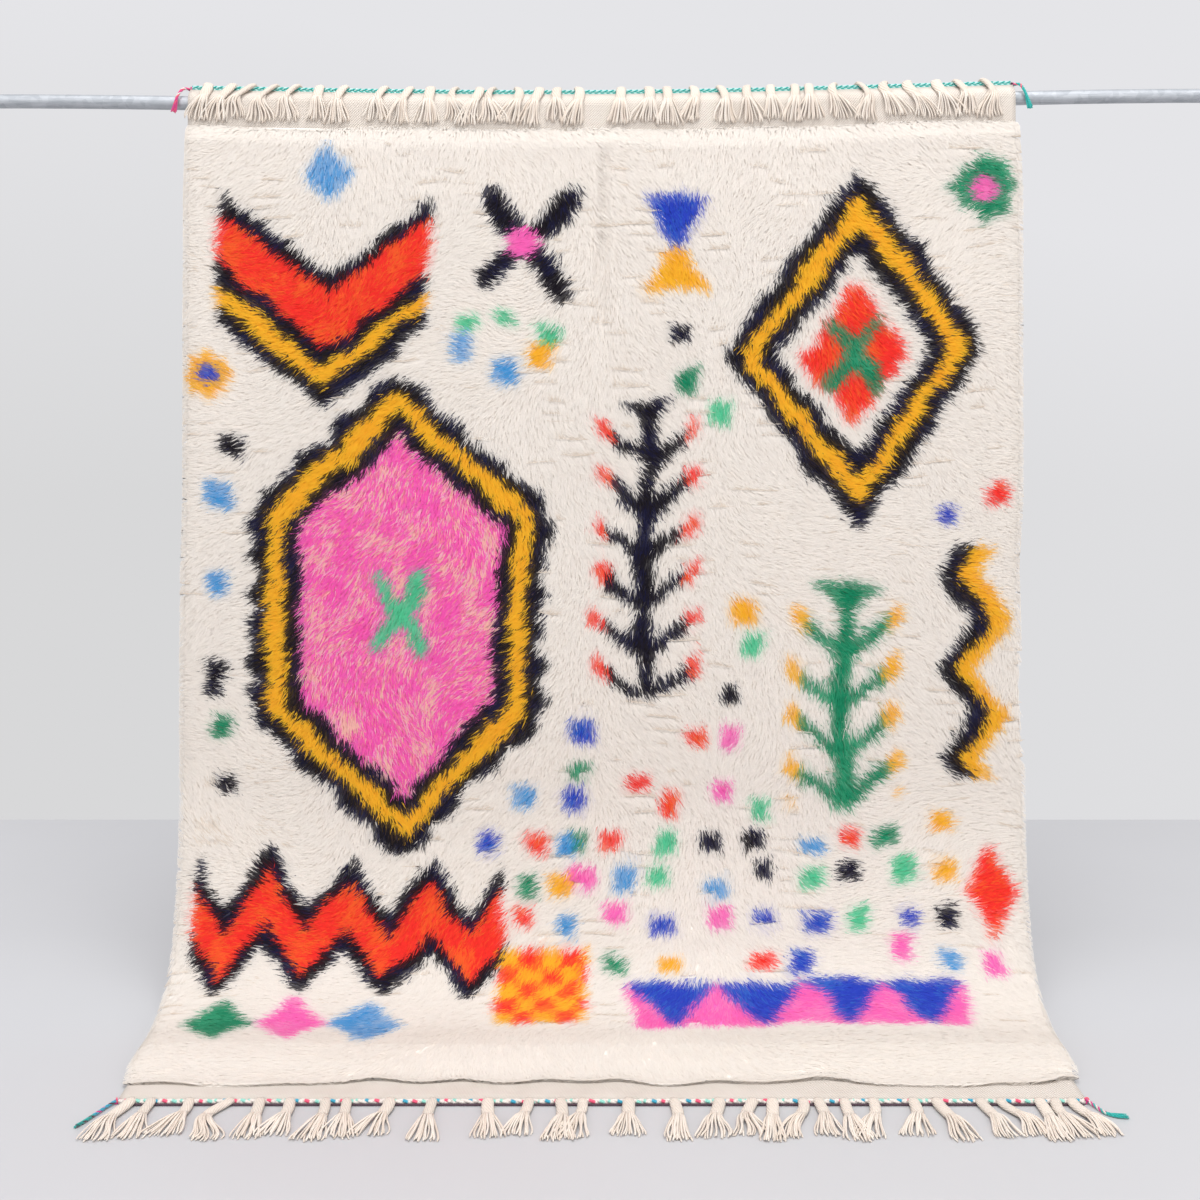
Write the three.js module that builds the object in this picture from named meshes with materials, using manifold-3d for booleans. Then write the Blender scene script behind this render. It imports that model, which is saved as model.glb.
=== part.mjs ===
// A thick wool pile rug, hung from a steel tube, whose lower end curves forward onto the floor.
// Millimetres, +Z up. X runs along the tube and the pile faces -Y.
// The origin is on the floor, under the middle of the box round the tube, rug and fringes.
// "Along" is a distance down the cloth from its top edge, and "forward" is a distance
// from the tube's axis towards -Y.

import * as THREE from "three";
import { mergeVertices } from "three/addons/utils/BufferGeometryUtils.js";
import Module from "manifold-3d";

const DEGREE = Math.PI / 180;
const GAP = 0.3; // between pieces that touch

// The tube sags under the rug, and its right end is the higher one.
const TUBE = { length: 2200, radius: 12.5, endHeight: 1611, sag: 16, rise: 10, sides: 20, steps: 12 };

// The end bands are woven flat. The pile between them stands out at the sides.
const RUG = { bandWidth: 1475, bandLength: 66, bandThickness: 5, tubeClearance: 2.2 };

// How the back of the cloth runs from its top edge: a free lip above the tube, a wrap
// over the tube's front, the drop, a slow lean forward, a tight foot, and the floor.
const BACK_RADIUS = TUBE.radius + RUG.tubeClearance;
const START = 50 * DEGREE;
const LEAN = { length: 262, turn: 20 * DEGREE };
const FOOT = { length: 232, turn: 70 * DEGREE };
const leanFall = (LEAN.length / LEAN.turn) * Math.sin(LEAN.turn);
const footFall = (FOOT.length / FOOT.turn) * (1 - Math.sin(LEAN.turn));
const BENDS = [
  { name: "lip", length: 14, turn: 0, rows: 1 },
  { name: "wrap", length: BACK_RADIUS * START, turn: -START, rows: 4 },
  { name: "drop", length: TUBE.endHeight - leanFall - footFall, turn: 0, rows: 10 },
  { name: "lean", ...LEAN, rows: 3 },
  { name: "foot", ...FOOT, rows: 8 },
  { name: "floor", length: 160, turn: 0, rows: 2 },
];
const LENGTH = BENDS.reduce((sum, bend) => sum + bend.length, 0);
const [LIP, WRAP, DROP] = BENDS;
const DROP_END = LIP.length + WRAP.length + DROP.length;
const FLOOR_START = LENGTH - BENDS.at(-1).length;

// Thickness of pile and ground together, down the cloth.
const PILE = [
  { along: RUG.bandLength + 4, thick: RUG.bandThickness },
  { along: RUG.bandLength + 13, thick: 15 },
  { along: RUG.bandLength + 30, thick: 23 },
  { along: RUG.bandLength + 120, thick: 27 },
  { along: DROP_END, thick: 29 },
  { along: FLOOR_START, thick: 36 },
  { along: LENGTH - 130, thick: 34 },
  { along: LENGTH - 98, thick: 26 },
  { along: LENGTH - 74, thick: 17 },
  { along: LENGTH - 56, thick: 12.5 },
  { along: LENGTH - 40, thick: 10 },
  { along: LENGTH - 36, thick: RUG.bandThickness },
];

// How far out the pile's two sides lie, which wander a little.
const SIDES = [
  { along: 0, left: RUG.bandWidth / 2, right: RUG.bandWidth / 2 },
  { along: RUG.bandLength + 4, left: RUG.bandWidth / 2, right: RUG.bandWidth / 2 },
  { along: RUG.bandLength + 13, left: 741, right: 744 },
  { along: 200, left: 744, right: 750 },
  { along: 740, left: 744, right: 751 },
  { along: 860, left: 748, right: 743 },
  { along: 1040, left: 750, right: 748 },
  { along: 1250, left: 752, right: 755 },
  { along: 1560, left: 750, right: 751 },
  { along: LENGTH - 90, left: 755, right: 755 },
  { along: LENGTH - 40, left: 744, right: 744 },
  { along: LENGTH - 36, left: RUG.bandWidth / 2, right: RUG.bandWidth / 2 },
];

// The pile's depth by the distance in from a side, as a share of its full depth.
const SIDE_ROUND = [
  { along: 0, share: 0.35 },
  { along: 11, share: 0.82 },
  { along: 34, share: 1 },
];

// The fold line down the middle, where the pile parts.
const CREASE = { depth: 7, halfWidth: 19, from: 80, to: 500 };

// How the hanging cloth sways out of its plane, and how uneven the pile is.
const SWAY = { depth: 4, wave: 930, from: 120, to: 560 };
const LUMPS = { depth: 1.4, across: 173, along: 211 };

const CORD = { radius: 4, half: 735, sides: 8, steps: 18 };
const TAIL = { radius: 2.8, sides: 8, steps: 12 };

// Fringe: a thin bar of warp ends behind the cord, and flat tassels that end in fans.
const FRINGE = { bar: 3.4, barSides: 4, stem: 16, fan: 33, stemThickness: 6, fanThickness: 5, lift: 1.2 };
const TOP_HANG = { straight: 40, unevenness: 4, lines: [14, 27, 40] };
const BOTTOM_REACH = { length: 104, unevenness: 9, rows: 5 };

// A row for each tassel: where it leaves the edge, and how far sideways its tip lies.
const tassels = (rows) => rows.map(([at, lean]) => ({ at, lean }));
const TOP_TASSELS = tassels([
  [-708, -10], [-663, -24], [-626, -32], [-584, -30], [-544, -22], [-506, -4], [-460, -18],
  [-388, -18], [-343, -20], [-307, -5], [-259, 0], [-220, -18], [-192, -10], [-153, -8],
  [-112, -18], [-79, -2], [-43, -8], [35, -5], [84, -4], [117, 4], [163, -2],
  [211, 14], [262, 4], [304, 0], [346, -9], [372, -3], [420, 5], [459, 18],
  [510, 11], [551, 22], [602, 18], [636, 20], [683, 16],
]);
const BOTTOM_TASSELS = tassels([
  [-715, -24], [-684, -8], [-628, -10], [-562, -28], [-520, 5], [-475, -4],
  [-421, -3], [-388, 6], [-323, -17], [-257, -7], [-173, 10], [-111, -15],
  [-64, 3], [-30, -14], [41, -4], [109, 5], [179, -18], [231, -20],
  [259, -12], [304, -26], [328, 8], [369, 5], [410, -18], [472, -11],
  [508, 21], [574, 19], [605, 33], [664, 3], [690, 8], [714, 24],
]);

// The yarn ends at the corners: how far out from the cord's end, forward of the cord,
// and above the tube's axis or the floor.
const tail = (rows) => rows.map(([out, forward, up]) => ({ out, forward, up }));
const TAILS = {
  tail_top_left: tail([[0, 0, 25], [4, 0, 25], [13, 11, 24], [20, 20, 12], [25, 22, -4], [28, 21, -19]]),
  tail_top_right: tail([[0, 0, 25], [4, 0, 25], [12, 11, 24], [18, 20, 12], [24, 22, -5], [29, 21, -21]]),
  tail_bottom_left: tail([[0, 0, 4], [4, 0, 4], [13, 16, 3], [22, 39, 3], [30, 58, 3], [38, 74, 3]]),
  tail_bottom_right: tail([[0, 0, 4], [4, 0, 4], [11, 16, 3], [18, 33, 3], [31, 43, 3], [47, 47, 3]]),
};

const clamp01 = (value) => Math.min(1, Math.max(0, value));
const mix = (low, high, share) => low + (high - low) * share;

function ramp(value, from, to) {
  const share = clamp01((value - from) / (to - from));
  return share * share * (3 - 2 * share);
}

// Reads a column of a table at a distance that its "along" column gives.
function read(table, column, along) {
  const next = table.findIndex((row) => row.along >= along);
  if (next === 0) return table[0][column];
  if (next < 0) return table.at(-1)[column];
  const [a, b] = [table[next - 1], table[next]];
  return mix(a[column], b[column], (along - a.along) / (b.along - a.along));
}

// How far the tube's axis at x lies above the mean height of its ends.
function tubeLift(x) {
  const turn = (Math.PI * x) / TUBE.length;
  return (TUBE.rise / 2) * Math.sin(turn) - (TUBE.sag / 2) * (1 + Math.cos(2 * turn));
}

// Carries a point on the cloth's back along one bend. Heading is 0 down and a right angle forward.
function follow(start, bend, length) {
  if (bend.turn === 0)
    return {
      forward: start.forward + length * Math.sin(start.heading),
      height: start.height - length * Math.cos(start.heading),
      heading: start.heading,
    };
  const radius = bend.length / bend.turn;
  const heading = start.heading + length / radius;
  return {
    forward: start.forward + radius * (Math.cos(start.heading) - Math.cos(heading)),
    height: start.height - radius * (Math.sin(heading) - Math.sin(start.heading)),
    heading,
  };
}

function startOfBends() {
  let along = 0;
  let start = {
    forward: BACK_RADIUS * Math.cos(START) - LIP.length * Math.sin(START),
    height: TUBE.endHeight + BACK_RADIUS * Math.sin(START) + LIP.length * Math.cos(START),
    heading: START,
  };
  return BENDS.map((bend) => {
    const placed = { bend, along, start };
    along += bend.length;
    start = follow(start, bend, bend.length);
    return placed;
  });
}
const placedBends = startOfBends();

function clothAt(along) {
  const { bend, along: from, start } = placedBends.findLast((placed) => placed.along <= along + 1e-6);
  return follow(start, bend, Math.min(along - from, bend.length));
}

// A point at some depth in front of the cloth's back.
function onCloth(x, along, depth) {
  const back = clothAt(along);
  const hang = 1 - ramp(along, 150, DROP_END);
  const swayHere = ramp(along, SWAY.from, SWAY.to) * (1 - ramp(along, DROP_END - 300, DROP_END));
  const sway = SWAY.depth * swayHere * Math.sin((2 * Math.PI * x) / SWAY.wave + 0.7);
  const forward = back.forward + sway + depth * Math.cos(back.heading);
  const height = back.height + tubeLift(x) * hang + depth * Math.sin(back.heading);
  return new THREE.Vector3(x, -forward, Math.max(height, 0));
}

// The thickness of pile and ground at a place on the cloth, given its distance in from the side.
function thicknessAt(x, along, inset) {
  const pile = read(PILE, "thick", along) - RUG.bandThickness;
  const lumps = Math.sin(x / LUMPS.across) * Math.sin(along / LUMPS.along + x / 300);
  const crease = CREASE.depth * ramp(along, CREASE.from, CREASE.from + 60)
    * (1 - ramp(along, CREASE.to - 120, CREASE.to)) * (1 - ramp(Math.abs(x), 0, CREASE.halfWidth));
  const full = pile + clamp01(pile / 10) * LUMPS.depth * lumps - Math.min(crease, pile);
  return RUG.bandThickness + full * read(SIDE_ROUND, "share", inset);
}

// A closed sheet between a back and a front face, as a grid of columns and rows.
// at(column, row, face) gives each corner, with face 0 behind and 1 in front.
function sheet(columns, rows, at) {
  const corners = [];
  const index = (column, row, face) => (face * rows + row) * columns + column;
  for (const face of [0, 1])
    for (let row = 0; row < rows; row++)
      for (let column = 0; column < columns; column++) corners.push(at(column, row, face));
  const triangles = [];
  const quad = (a, b, c, d) => triangles.push(a, b, c, a, c, d);
  for (let row = 0; row + 1 < rows; row++) {
    for (let column = 0; column + 1 < columns; column++)
      for (const face of [0, 1]) {
        const ring = [[0, 0], [0, 1], [1, 1], [1, 0]].map(([c, r]) => index(column + c, row + r, face));
        quad(...(face ? ring : ring.reverse()));
      }
    const last = columns - 1;
    quad(index(0, row, 0), index(0, row + 1, 0), index(0, row + 1, 1), index(0, row, 1));
    quad(index(last, row, 1), index(last, row + 1, 1), index(last, row + 1, 0), index(last, row, 0));
  }
  for (let column = 0; column + 1 < columns; column++) {
    const end = rows - 1;
    quad(index(column, 0, 1), index(column + 1, 0, 1), index(column + 1, 0, 0), index(column, 0, 0));
    quad(index(column, end, 0), index(column + 1, end, 0), index(column + 1, end, 1), index(column, end, 1));
  }
  const geometry = new THREE.BufferGeometry().setFromPoints(corners);
  geometry.setIndex(triangles);
  return geometry;
}

class CurveOf extends THREE.Curve {
  constructor(place) {
    super();
    this.place = place;
  }
  getPoint(share) {
    return this.place(share);
  }
}

// A bar of round section along a path. An arc is cut into two sides a segment.
function roundBar(path, radius, sides, steps) {
  const circle = new THREE.Shape().absarc(0, 0, radius, 0, 2 * Math.PI);
  return new THREE.ExtrudeGeometry(circle, { extrudePath: path, steps, curveSegments: sides / 2 });
}

function makeTube() {
  const path = new CurveOf((share) => {
    const x = (share - 0.5) * TUBE.length;
    return new THREE.Vector3(x, 0, TUBE.endHeight + tubeLift(x));
  });
  return roundBar(path, TUBE.radius, TUBE.sides, TUBE.steps);
}

// Distances along the cloth where the rug's solid has a row of corners.
function rugRows() {
  const rows = PILE.map((row) => row.along);
  for (const { bend, along } of placedBends)
    for (let step = 0; step < bend.rows; step++) rows.push(along + (bend.length * step) / bend.rows);
  rows.push(LENGTH);
  const sorted = rows.sort((a, b) => a - b);
  return sorted.filter((along, place) => place === 0 || along - sorted[place - 1] > 1.5);
}

// Each column is an inset from a side, or a share of the half width there.
function rugColumns() {
  const half = SIDE_ROUND.map((row) => ({ share: 1, inset: row.along }));
  for (let share = 0.88; share > 0.05; share -= 0.16) half.push({ share, inset: 0 });
  half.push({ share: CREASE.halfWidth / RUG.bandWidth * 2, inset: 0 });
  const left = half.map(({ share, inset }) => ({ side: "left", sign: -1, share, inset }));
  const right = half.map(({ share, inset }) => ({ side: "right", sign: 1, share, inset }));
  return [...left, { side: "left", sign: 0, share: 0, inset: 0 }, ...right.reverse()];
}

function makeRug() {
  const rows = rugRows();
  const columns = rugColumns();
  return sheet(columns.length, rows.length, (column, row, face) => {
    const { side, sign, share, inset } = columns[column];
    const along = rows[row];
    const reach = read(SIDES, side, along);
    const x = sign * (reach * share - inset);
    const depth = face ? thicknessAt(x, along, reach - Math.abs(x)) : 0;
    return onCloth(x, along, depth);
  });
}

// The middle of the cloth's end face, and of what is set a distance beyond it.
function beyondTop(x, distance) {
  const edge = onCloth(x, 0, RUG.bandThickness / 2);
  return edge.add(new THREE.Vector3(0, distance * Math.sin(START), distance * Math.cos(START)));
}

function beyondBottom(x, distance, height) {
  const edge = onCloth(x, LENGTH, 0);
  return new THREE.Vector3(x, edge.y - distance, height);
}

const CORD_OUT = CORD.radius + GAP;
const BAR_OUT = 2 * CORD.radius + 2 * GAP + FRINGE.bar / 2;

function makeCord(placeAt) {
  const path = new CurveOf((share) => placeAt(mix(-CORD.half, CORD.half, share)));
  return roundBar(path, CORD.radius, CORD.sides, CORD.steps);
}

function makeTail(name) {
  const sign = name.endsWith("left") ? -1 : 1;
  const top = name.startsWith("tail_top");
  const end = sign * (CORD.half + GAP);
  const cord = top ? beyondTop(end, CORD_OUT) : beyondBottom(end, CORD_OUT, CORD.radius);
  const level = top ? TUBE.endHeight + tubeLift(end) : 0;
  const points = TAILS[name].map(({ out, forward, up }) =>
    new THREE.Vector3(end + sign * out, cord.y - forward, level + up));
  return roundBar(new THREE.CatmullRomCurve3(points), TAIL.radius, TAIL.sides, TAIL.steps);
}

// One flat tassel through the middle points and front normals of its rows.
function tasselSheet(tassel, lines) {
  return sheet(2, lines.length, (column, row, face) => {
    const { share, point, normal } = lines[row];
    const open = ramp(share, 0.55, 1);
    const halfWidth = mix(FRINGE.stem, FRINGE.fan, open) / 2;
    const thick = mix(FRINGE.stemThickness, FRINGE.fanThickness, open);
    const across = new THREE.Vector3((column ? 1 : -1) * halfWidth + tassel.lean * share * share, 0, 0);
    return point.clone().add(across).addScaledVector(normal, (face ? 0.5 : -0.5) * thick);
  });
}

// A top tassel rises over the cord and falls in front of the tube and the flat band.
function topTassel(tassel, order) {
  const cord = beyondTop(tassel.at, CORD_OUT);
  const axis = new THREE.Vector3(tassel.at, 0, TUBE.endHeight + tubeLift(tassel.at));
  const overCord = CORD.radius + FRINGE.lift + FRINGE.stemThickness / 2;
  const overBand = BACK_RADIUS + RUG.bandThickness + FRINGE.lift + FRINGE.stemThickness / 2;
  const lines = [];
  const add = (centre, radius, angle) => {
    const normal = new THREE.Vector3(0, -Math.cos(angle * DEGREE), Math.sin(angle * DEGREE));
    lines.push({ point: centre.clone().addScaledVector(normal, radius), normal });
  };
  for (const angle of [142, 100, 60]) add(cord, overCord, angle);
  for (const angle of [44, 8]) add(axis, overBand, angle);
  const stretch = 1 + (TOP_HANG.unevenness / TOP_HANG.straight) * Math.sin(order * 2.4);
  const down = lines.at(-1);
  for (const fall of TOP_HANG.lines)
    lines.push({ point: down.point.clone().setZ(down.point.z - fall * stretch), normal: down.normal });
  let length = 0;
  lines.forEach((line, place) => {
    if (place) length += line.point.distanceTo(lines[place - 1].point);
    line.length = length;
  });
  for (const line of lines) line.share = line.length / length;
  return tasselSheet(tassel, lines);
}

// A bottom tassel lies on the floor in front of the cord.
function bottomTassel(tassel, order) {
  const reach = BOTTOM_REACH.length + BOTTOM_REACH.unevenness * Math.sin(order * 2.1 + 1);
  const normal = new THREE.Vector3(0, 0, 1);
  const lines = [];
  for (let row = 0; row < BOTTOM_REACH.rows; row++) {
    const share = row / (BOTTOM_REACH.rows - 1);
    const thick = mix(FRINGE.stemThickness, FRINGE.fanThickness, ramp(share, 0.55, 1));
    const point = beyondBottom(tassel.at, BAR_OUT + share * reach, thick / 2);
    lines.push({ share, point, normal });
  }
  return tasselSheet(tassel, lines);
}

const wasm = await Module();
wasm.setup();

function solid(geometry) {
  const plain = geometry.clone();
  for (const name of ["normal", "uv"]) plain.deleteAttribute(name);
  const merged = mergeVertices(plain, 1e-4);
  const vertProperties = merged.attributes.position.array;
  const triVerts = new Uint32Array(merged.index.array);
  return new wasm.Manifold(new wasm.Mesh({ numProp: 3, vertProperties, triVerts }));
}

function joined(geometries) {
  const whole = geometries.map(solid).reduce((sum, next) => sum.add(next));
  const mesh = whole.getMesh();
  const geometry = new THREE.BufferGeometry();
  geometry.setAttribute("position", new THREE.BufferAttribute(mesh.vertProperties, 3));
  geometry.setIndex(new THREE.BufferAttribute(mesh.triVerts, 1));
  return geometry;
}

// The bar and tassels of one end, as one comb.
function makeComb(barAt, list, makeTassel) {
  const half = CORD.half - 4;
  const bar = new CurveOf((share) => barAt(mix(-half, half, share)));
  const parts = [roundBar(bar, FRINGE.bar / 2, FRINGE.barSides, CORD.steps)];
  list.forEach((tassel, order) => parts.push(makeTassel(tassel, order)));
  return joined(parts);
}

const wool = new THREE.MeshStandardMaterial({ color: 0xebe3d6, roughness: 0.95 });
const cotton = new THREE.MeshStandardMaterial({ color: 0xe3d9cb, roughness: 0.95 });
const teal = new THREE.MeshStandardMaterial({ color: 0x55b9b5, roughness: 0.9 });
const mixedYarn = new THREE.MeshStandardMaterial({ color: 0xd8a9b4, roughness: 0.9 });
const steel = new THREE.MeshStandardMaterial({ color: 0xb4b8bc, roughness: 0.35, metalness: 1 });

const pieces = new THREE.Group();
const tails = new THREE.Group();

function addPiece(group, name, geometry, material) {
  const mesh = new THREE.Mesh(geometry, material);
  mesh.name = name;
  group.add(mesh);
}

addPiece(pieces, "rod", makeTube(), steel);
addPiece(pieces, "rug", makeRug(), wool);
addPiece(pieces, "top_cord", makeCord((x) => beyondTop(x, CORD_OUT)), teal);
addPiece(pieces, "bottom_cord", makeCord((x) => beyondBottom(x, CORD_OUT, CORD.radius)), mixedYarn);
addPiece(pieces, "top_fringe", makeComb((x) => beyondTop(x, BAR_OUT), TOP_TASSELS, topTassel), cotton);
addPiece(pieces, "bottom_fringe",
  makeComb((x) => beyondBottom(x, BAR_OUT, FRINGE.bar / 2), BOTTOM_TASSELS, bottomTassel), cotton);
for (const name of Object.keys(TAILS)) addPiece(tails, name, makeTail(name), teal);

const part = new THREE.Group();
part.add(pieces, tails);

// Puts the origin under the middle of the box, which leaves the loose yarn ends out.
const box = new THREE.Box3().setFromObject(pieces);
const middle = box.getCenter(new THREE.Vector3());
part.position.set(-middle.x, -middle.y, -box.min.z);

export default part;
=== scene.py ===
# The looks of a thick wool pile rug that hangs from a steel tube, with its lower end on the floor.
# Metres, +Z up. X runs along the tube and the pile faces -Y.
# "Along" is a distance down the cloth from its top edge, and "depth" is a distance in front
# of the cloth's back. "Forward" is a distance from the tube's axis towards -Y.

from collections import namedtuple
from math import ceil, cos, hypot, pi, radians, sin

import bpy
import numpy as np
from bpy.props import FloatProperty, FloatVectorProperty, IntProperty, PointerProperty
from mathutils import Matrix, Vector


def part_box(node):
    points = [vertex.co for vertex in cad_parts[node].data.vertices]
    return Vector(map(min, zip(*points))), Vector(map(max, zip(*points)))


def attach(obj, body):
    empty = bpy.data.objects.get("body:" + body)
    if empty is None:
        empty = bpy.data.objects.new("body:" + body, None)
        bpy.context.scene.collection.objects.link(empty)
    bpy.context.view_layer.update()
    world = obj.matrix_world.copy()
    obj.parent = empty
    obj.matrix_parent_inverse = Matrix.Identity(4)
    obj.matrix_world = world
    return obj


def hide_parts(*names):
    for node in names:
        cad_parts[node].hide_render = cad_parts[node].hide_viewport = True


bl_info = {
    "name": "Pile Rug",
    "version": (1, 0, 0),
    "blender": (4, 5, 0),
    "location": "3D View > Sidebar > Pile Rug",
    "description": "Builds a thick wool pile rug with twined edges and knotted fringe on a steel tube",
    "category": "Add Mesh",
}

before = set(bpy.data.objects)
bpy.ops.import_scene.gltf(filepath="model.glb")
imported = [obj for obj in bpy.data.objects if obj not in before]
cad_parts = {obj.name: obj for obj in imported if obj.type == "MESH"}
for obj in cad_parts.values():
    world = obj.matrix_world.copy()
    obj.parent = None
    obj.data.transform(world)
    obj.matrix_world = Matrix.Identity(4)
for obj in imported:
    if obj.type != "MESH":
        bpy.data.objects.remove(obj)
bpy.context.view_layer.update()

tube_low, tube_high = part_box("rod")
AXIS_Y = (tube_low.y + tube_high.y) / 2

# The tube, which sags under the rug and whose right end is the higher one.
TUBE_LENGTH = tube_high.x - tube_low.x
TUBE_RADIUS = (tube_high.y - tube_low.y) / 2
TUBE_HEIGHT = 1.611
TUBE_SAG = 0.016
TUBE_RISE = 0.010

BAND_WIDTH = 1.475
BAND_LENGTH = 0.066
GROUND = 0.005  # thickness of the woven ground
TUBE_CLEARANCE = 0.0022

# How the cloth's back runs from its top edge: a free lip above the tube, a wrap over the
# tube's front, the drop, a slow lean forward, a tight foot, and the floor.
BACK_RADIUS = TUBE_RADIUS + TUBE_CLEARANCE
START = radians(50)
LEAN_LENGTH, LEAN_TURN = 0.262, radians(20)
FOOT_LENGTH, FOOT_TURN = 0.232, radians(70)
LEAN_FALL = LEAN_LENGTH / LEAN_TURN * sin(LEAN_TURN)
FOOT_FALL = FOOT_LENGTH / FOOT_TURN * (1 - sin(LEAN_TURN))
LIP_LENGTH = 0.014

Bend = namedtuple("Bend", "length turn")
BENDS = (
    Bend(LIP_LENGTH, 0.0),
    Bend(BACK_RADIUS * START, -START),
    Bend(TUBE_HEIGHT - LEAN_FALL - FOOT_FALL, 0.0),
    Bend(LEAN_LENGTH, LEAN_TURN),
    Bend(FOOT_LENGTH, FOOT_TURN),
    Bend(0.160, 0.0),
)
LENGTH = sum(bend.length for bend in BENDS)
DROP_END = sum(bend.length for bend in BENDS[:3])
FLOOR_START = LENGTH - BENDS[-1].length

# Thickness of pile and ground together, down the cloth.
Thick = namedtuple("Thick", "along thick")
THICKNESS = (
    Thick(BAND_LENGTH + 0.004, GROUND),
    Thick(BAND_LENGTH + 0.013, 0.015),
    Thick(BAND_LENGTH + 0.030, 0.023),
    Thick(BAND_LENGTH + 0.120, 0.027),
    Thick(DROP_END, 0.029),
    Thick(FLOOR_START, 0.036),
    Thick(LENGTH - 0.130, 0.034),
    Thick(LENGTH - 0.098, 0.026),
    Thick(LENGTH - 0.074, 0.017),
    Thick(LENGTH - 0.056, 0.0125),
    Thick(LENGTH - 0.040, 0.010),
    Thick(LENGTH - 0.036, GROUND),
)

# How far out the pile's two sides lie, which wander a little.
Side = namedtuple("Side", "along left right")
SIDES = (
    Side(BAND_LENGTH + 0.004, BAND_WIDTH / 2, BAND_WIDTH / 2),
    Side(BAND_LENGTH + 0.013, 0.741, 0.744),
    Side(0.200, 0.744, 0.750),
    Side(0.740, 0.744, 0.751),
    Side(0.860, 0.748, 0.743),
    Side(1.040, 0.750, 0.748),
    Side(1.250, 0.752, 0.755),
    Side(1.560, 0.750, 0.751),
    Side(LENGTH - 0.090, 0.755, 0.755),
    Side(LENGTH - 0.040, 0.744, 0.744),
    Side(LENGTH - 0.036, BAND_WIDTH / 2, BAND_WIDTH / 2),
)

# The pile's depth by the distance in from a side, as a share of its full depth.
Round = namedtuple("Round", "inset share")
SIDE_ROUND = (Round(0.0, 0.35), Round(0.011, 0.82), Round(0.034, 1.0))

# The fold line down the middle, where the pile parts.
CREASE_DEPTH, CREASE_HALF_WIDTH, CREASE_FROM, CREASE_TO = 0.007, 0.019, 0.080, 0.500

# How the hanging cloth sways out of its plane, and how uneven the pile is.
SWAY_DEPTH, SWAY_WAVE, SWAY_FROM, SWAY_TO = 0.004, 0.930, 0.120, 0.560
LUMP_DEPTH, LUMP_ACROSS, LUMP_ALONG = 0.0014, 0.173, 0.211

# How far the dense felt of the lower pile lies below the tips, on the wall and at the foot.
FELT_DEPTH, FOOT_FELT_DEPTH = 0.0038, 0.0020

# Where the knotted rows start and stop, with flat bands beyond them. A few rows stand on the
# lower band, as far as the overhang.
PILE_TOP = BAND_LENGTH + 0.007
PILE_BOTTOM = LENGTH - BAND_LENGTH
OVERHANG = 0.016

# The felt starts above the first row, and stops this far short of the lowest strands' line,
# towards which it gets thin.
FELT_TOP, FELT_STOP, FELT_THINS = PILE_TOP - 0.001, 0.0025, 0.009

# The lowest strands end in a wavering line, this far from the lower end and this uneven.
LIP_FROM_END, LIP_WAVER = 0.0375, 0.012

# The pile parts here and there between rows this far apart.
PARTING_STEP, PARTINGS_FROM, PARTINGS_TO = 0.024, 0.100, LENGTH - 0.200

GAP = 0.0003  # between pieces that touch
CORD_RADIUS = 0.004
CORD_HALF = 0.735
CORD_OUT = CORD_RADIUS + GAP
BAR_RADIUS = 0.0017
BAR_OUT = 2 * CORD_RADIUS + 2 * GAP + BAR_RADIUS

STEM_THICKNESS = 0.006
FRINGE_LIFT = 0.0012

# A row for each tassel: where it leaves the edge, and how far sideways its tip lies.
Tassel = namedtuple("Tassel", "at lean")
TOP_TASSELS = tuple(Tassel(at / 1000, lean / 1000) for at, lean in (
    (-708, -10), (-663, -24), (-626, -32), (-584, -30), (-544, -22), (-506, -4), (-460, -18),
    (-388, -18), (-343, -20), (-307, -5), (-259, 0), (-220, -18), (-192, -10), (-153, -8),
    (-112, -18), (-79, -2), (-43, -8), (35, -5), (84, -4), (117, 4), (163, -2),
    (211, 14), (262, 4), (304, 0), (346, -9), (372, -3), (420, 5), (459, 18),
    (510, 11), (551, 22), (602, 18), (636, 20), (683, 16),
))
BOTTOM_TASSELS = tuple(Tassel(at / 1000, lean / 1000) for at, lean in (
    (-715, -24), (-684, -8), (-628, -10), (-562, -28), (-520, 5), (-475, -4),
    (-421, -3), (-388, 6), (-323, -17), (-257, -7), (-173, 10), (-111, -15),
    (-64, 3), (-30, -14), (41, -4), (109, 5), (179, -18), (231, -20),
    (259, -12), (304, -26), (328, 8), (369, 5), (410, -18), (472, -11),
    (508, 21), (574, 19), (605, 33), (664, 3), (690, 8), (714, 24),
))
TasselRow = namedtuple("TasselRow", "tassels threads stem_end stem_shade lines fronts bar")

# How wide and deep a tassel's stem is along it, as shares of the stem.
Stem = namedtuple("Stem", "at width depth")
STEM = (
    Stem(0.0, 0.72, 1.00),
    Stem(0.1, 0.90, 1.45),
    Stem(0.5, 0.94, 1.50),
    Stem(0.8, 0.94, 1.15),
    Stem(1.0, 0.52, 0.30),
)
TOP_FALLS = (0.014, 0.027, 0.040)
TOP_UNEVENNESS = 0.10
BOTTOM_REACH, BOTTOM_UNEVENNESS = 0.104, 0.009

# The yarn ends at the corners: how far out from the cord's end, forward of the cord, and
# above the tube's axis or the floor, in millimetres.
TAIL_RADIUS = 0.0028
TAILS = {
    "tail_top_left": ((0, 0, 25), (4, 0, 25), (13, 11, 24), (20, 20, 12), (25, 22, -4), (28, 21, -19)),
    "tail_top_right": ((0, 0, 25), (4, 0, 25), (12, 11, 24), (18, 20, 12), (24, 22, -5), (29, 21, -21)),
    "tail_bottom_left": ((0, 0, 4), (4, 0, 4), (13, 16, 3), (22, 39, 3), (30, 58, 3), (38, 74, 3)),
    "tail_bottom_right": ((0, 0, 4), (4, 0, 4), (11, 16, 3), (18, 33, 3), (31, 43, 3), (47, 47, 3)),
}

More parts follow.
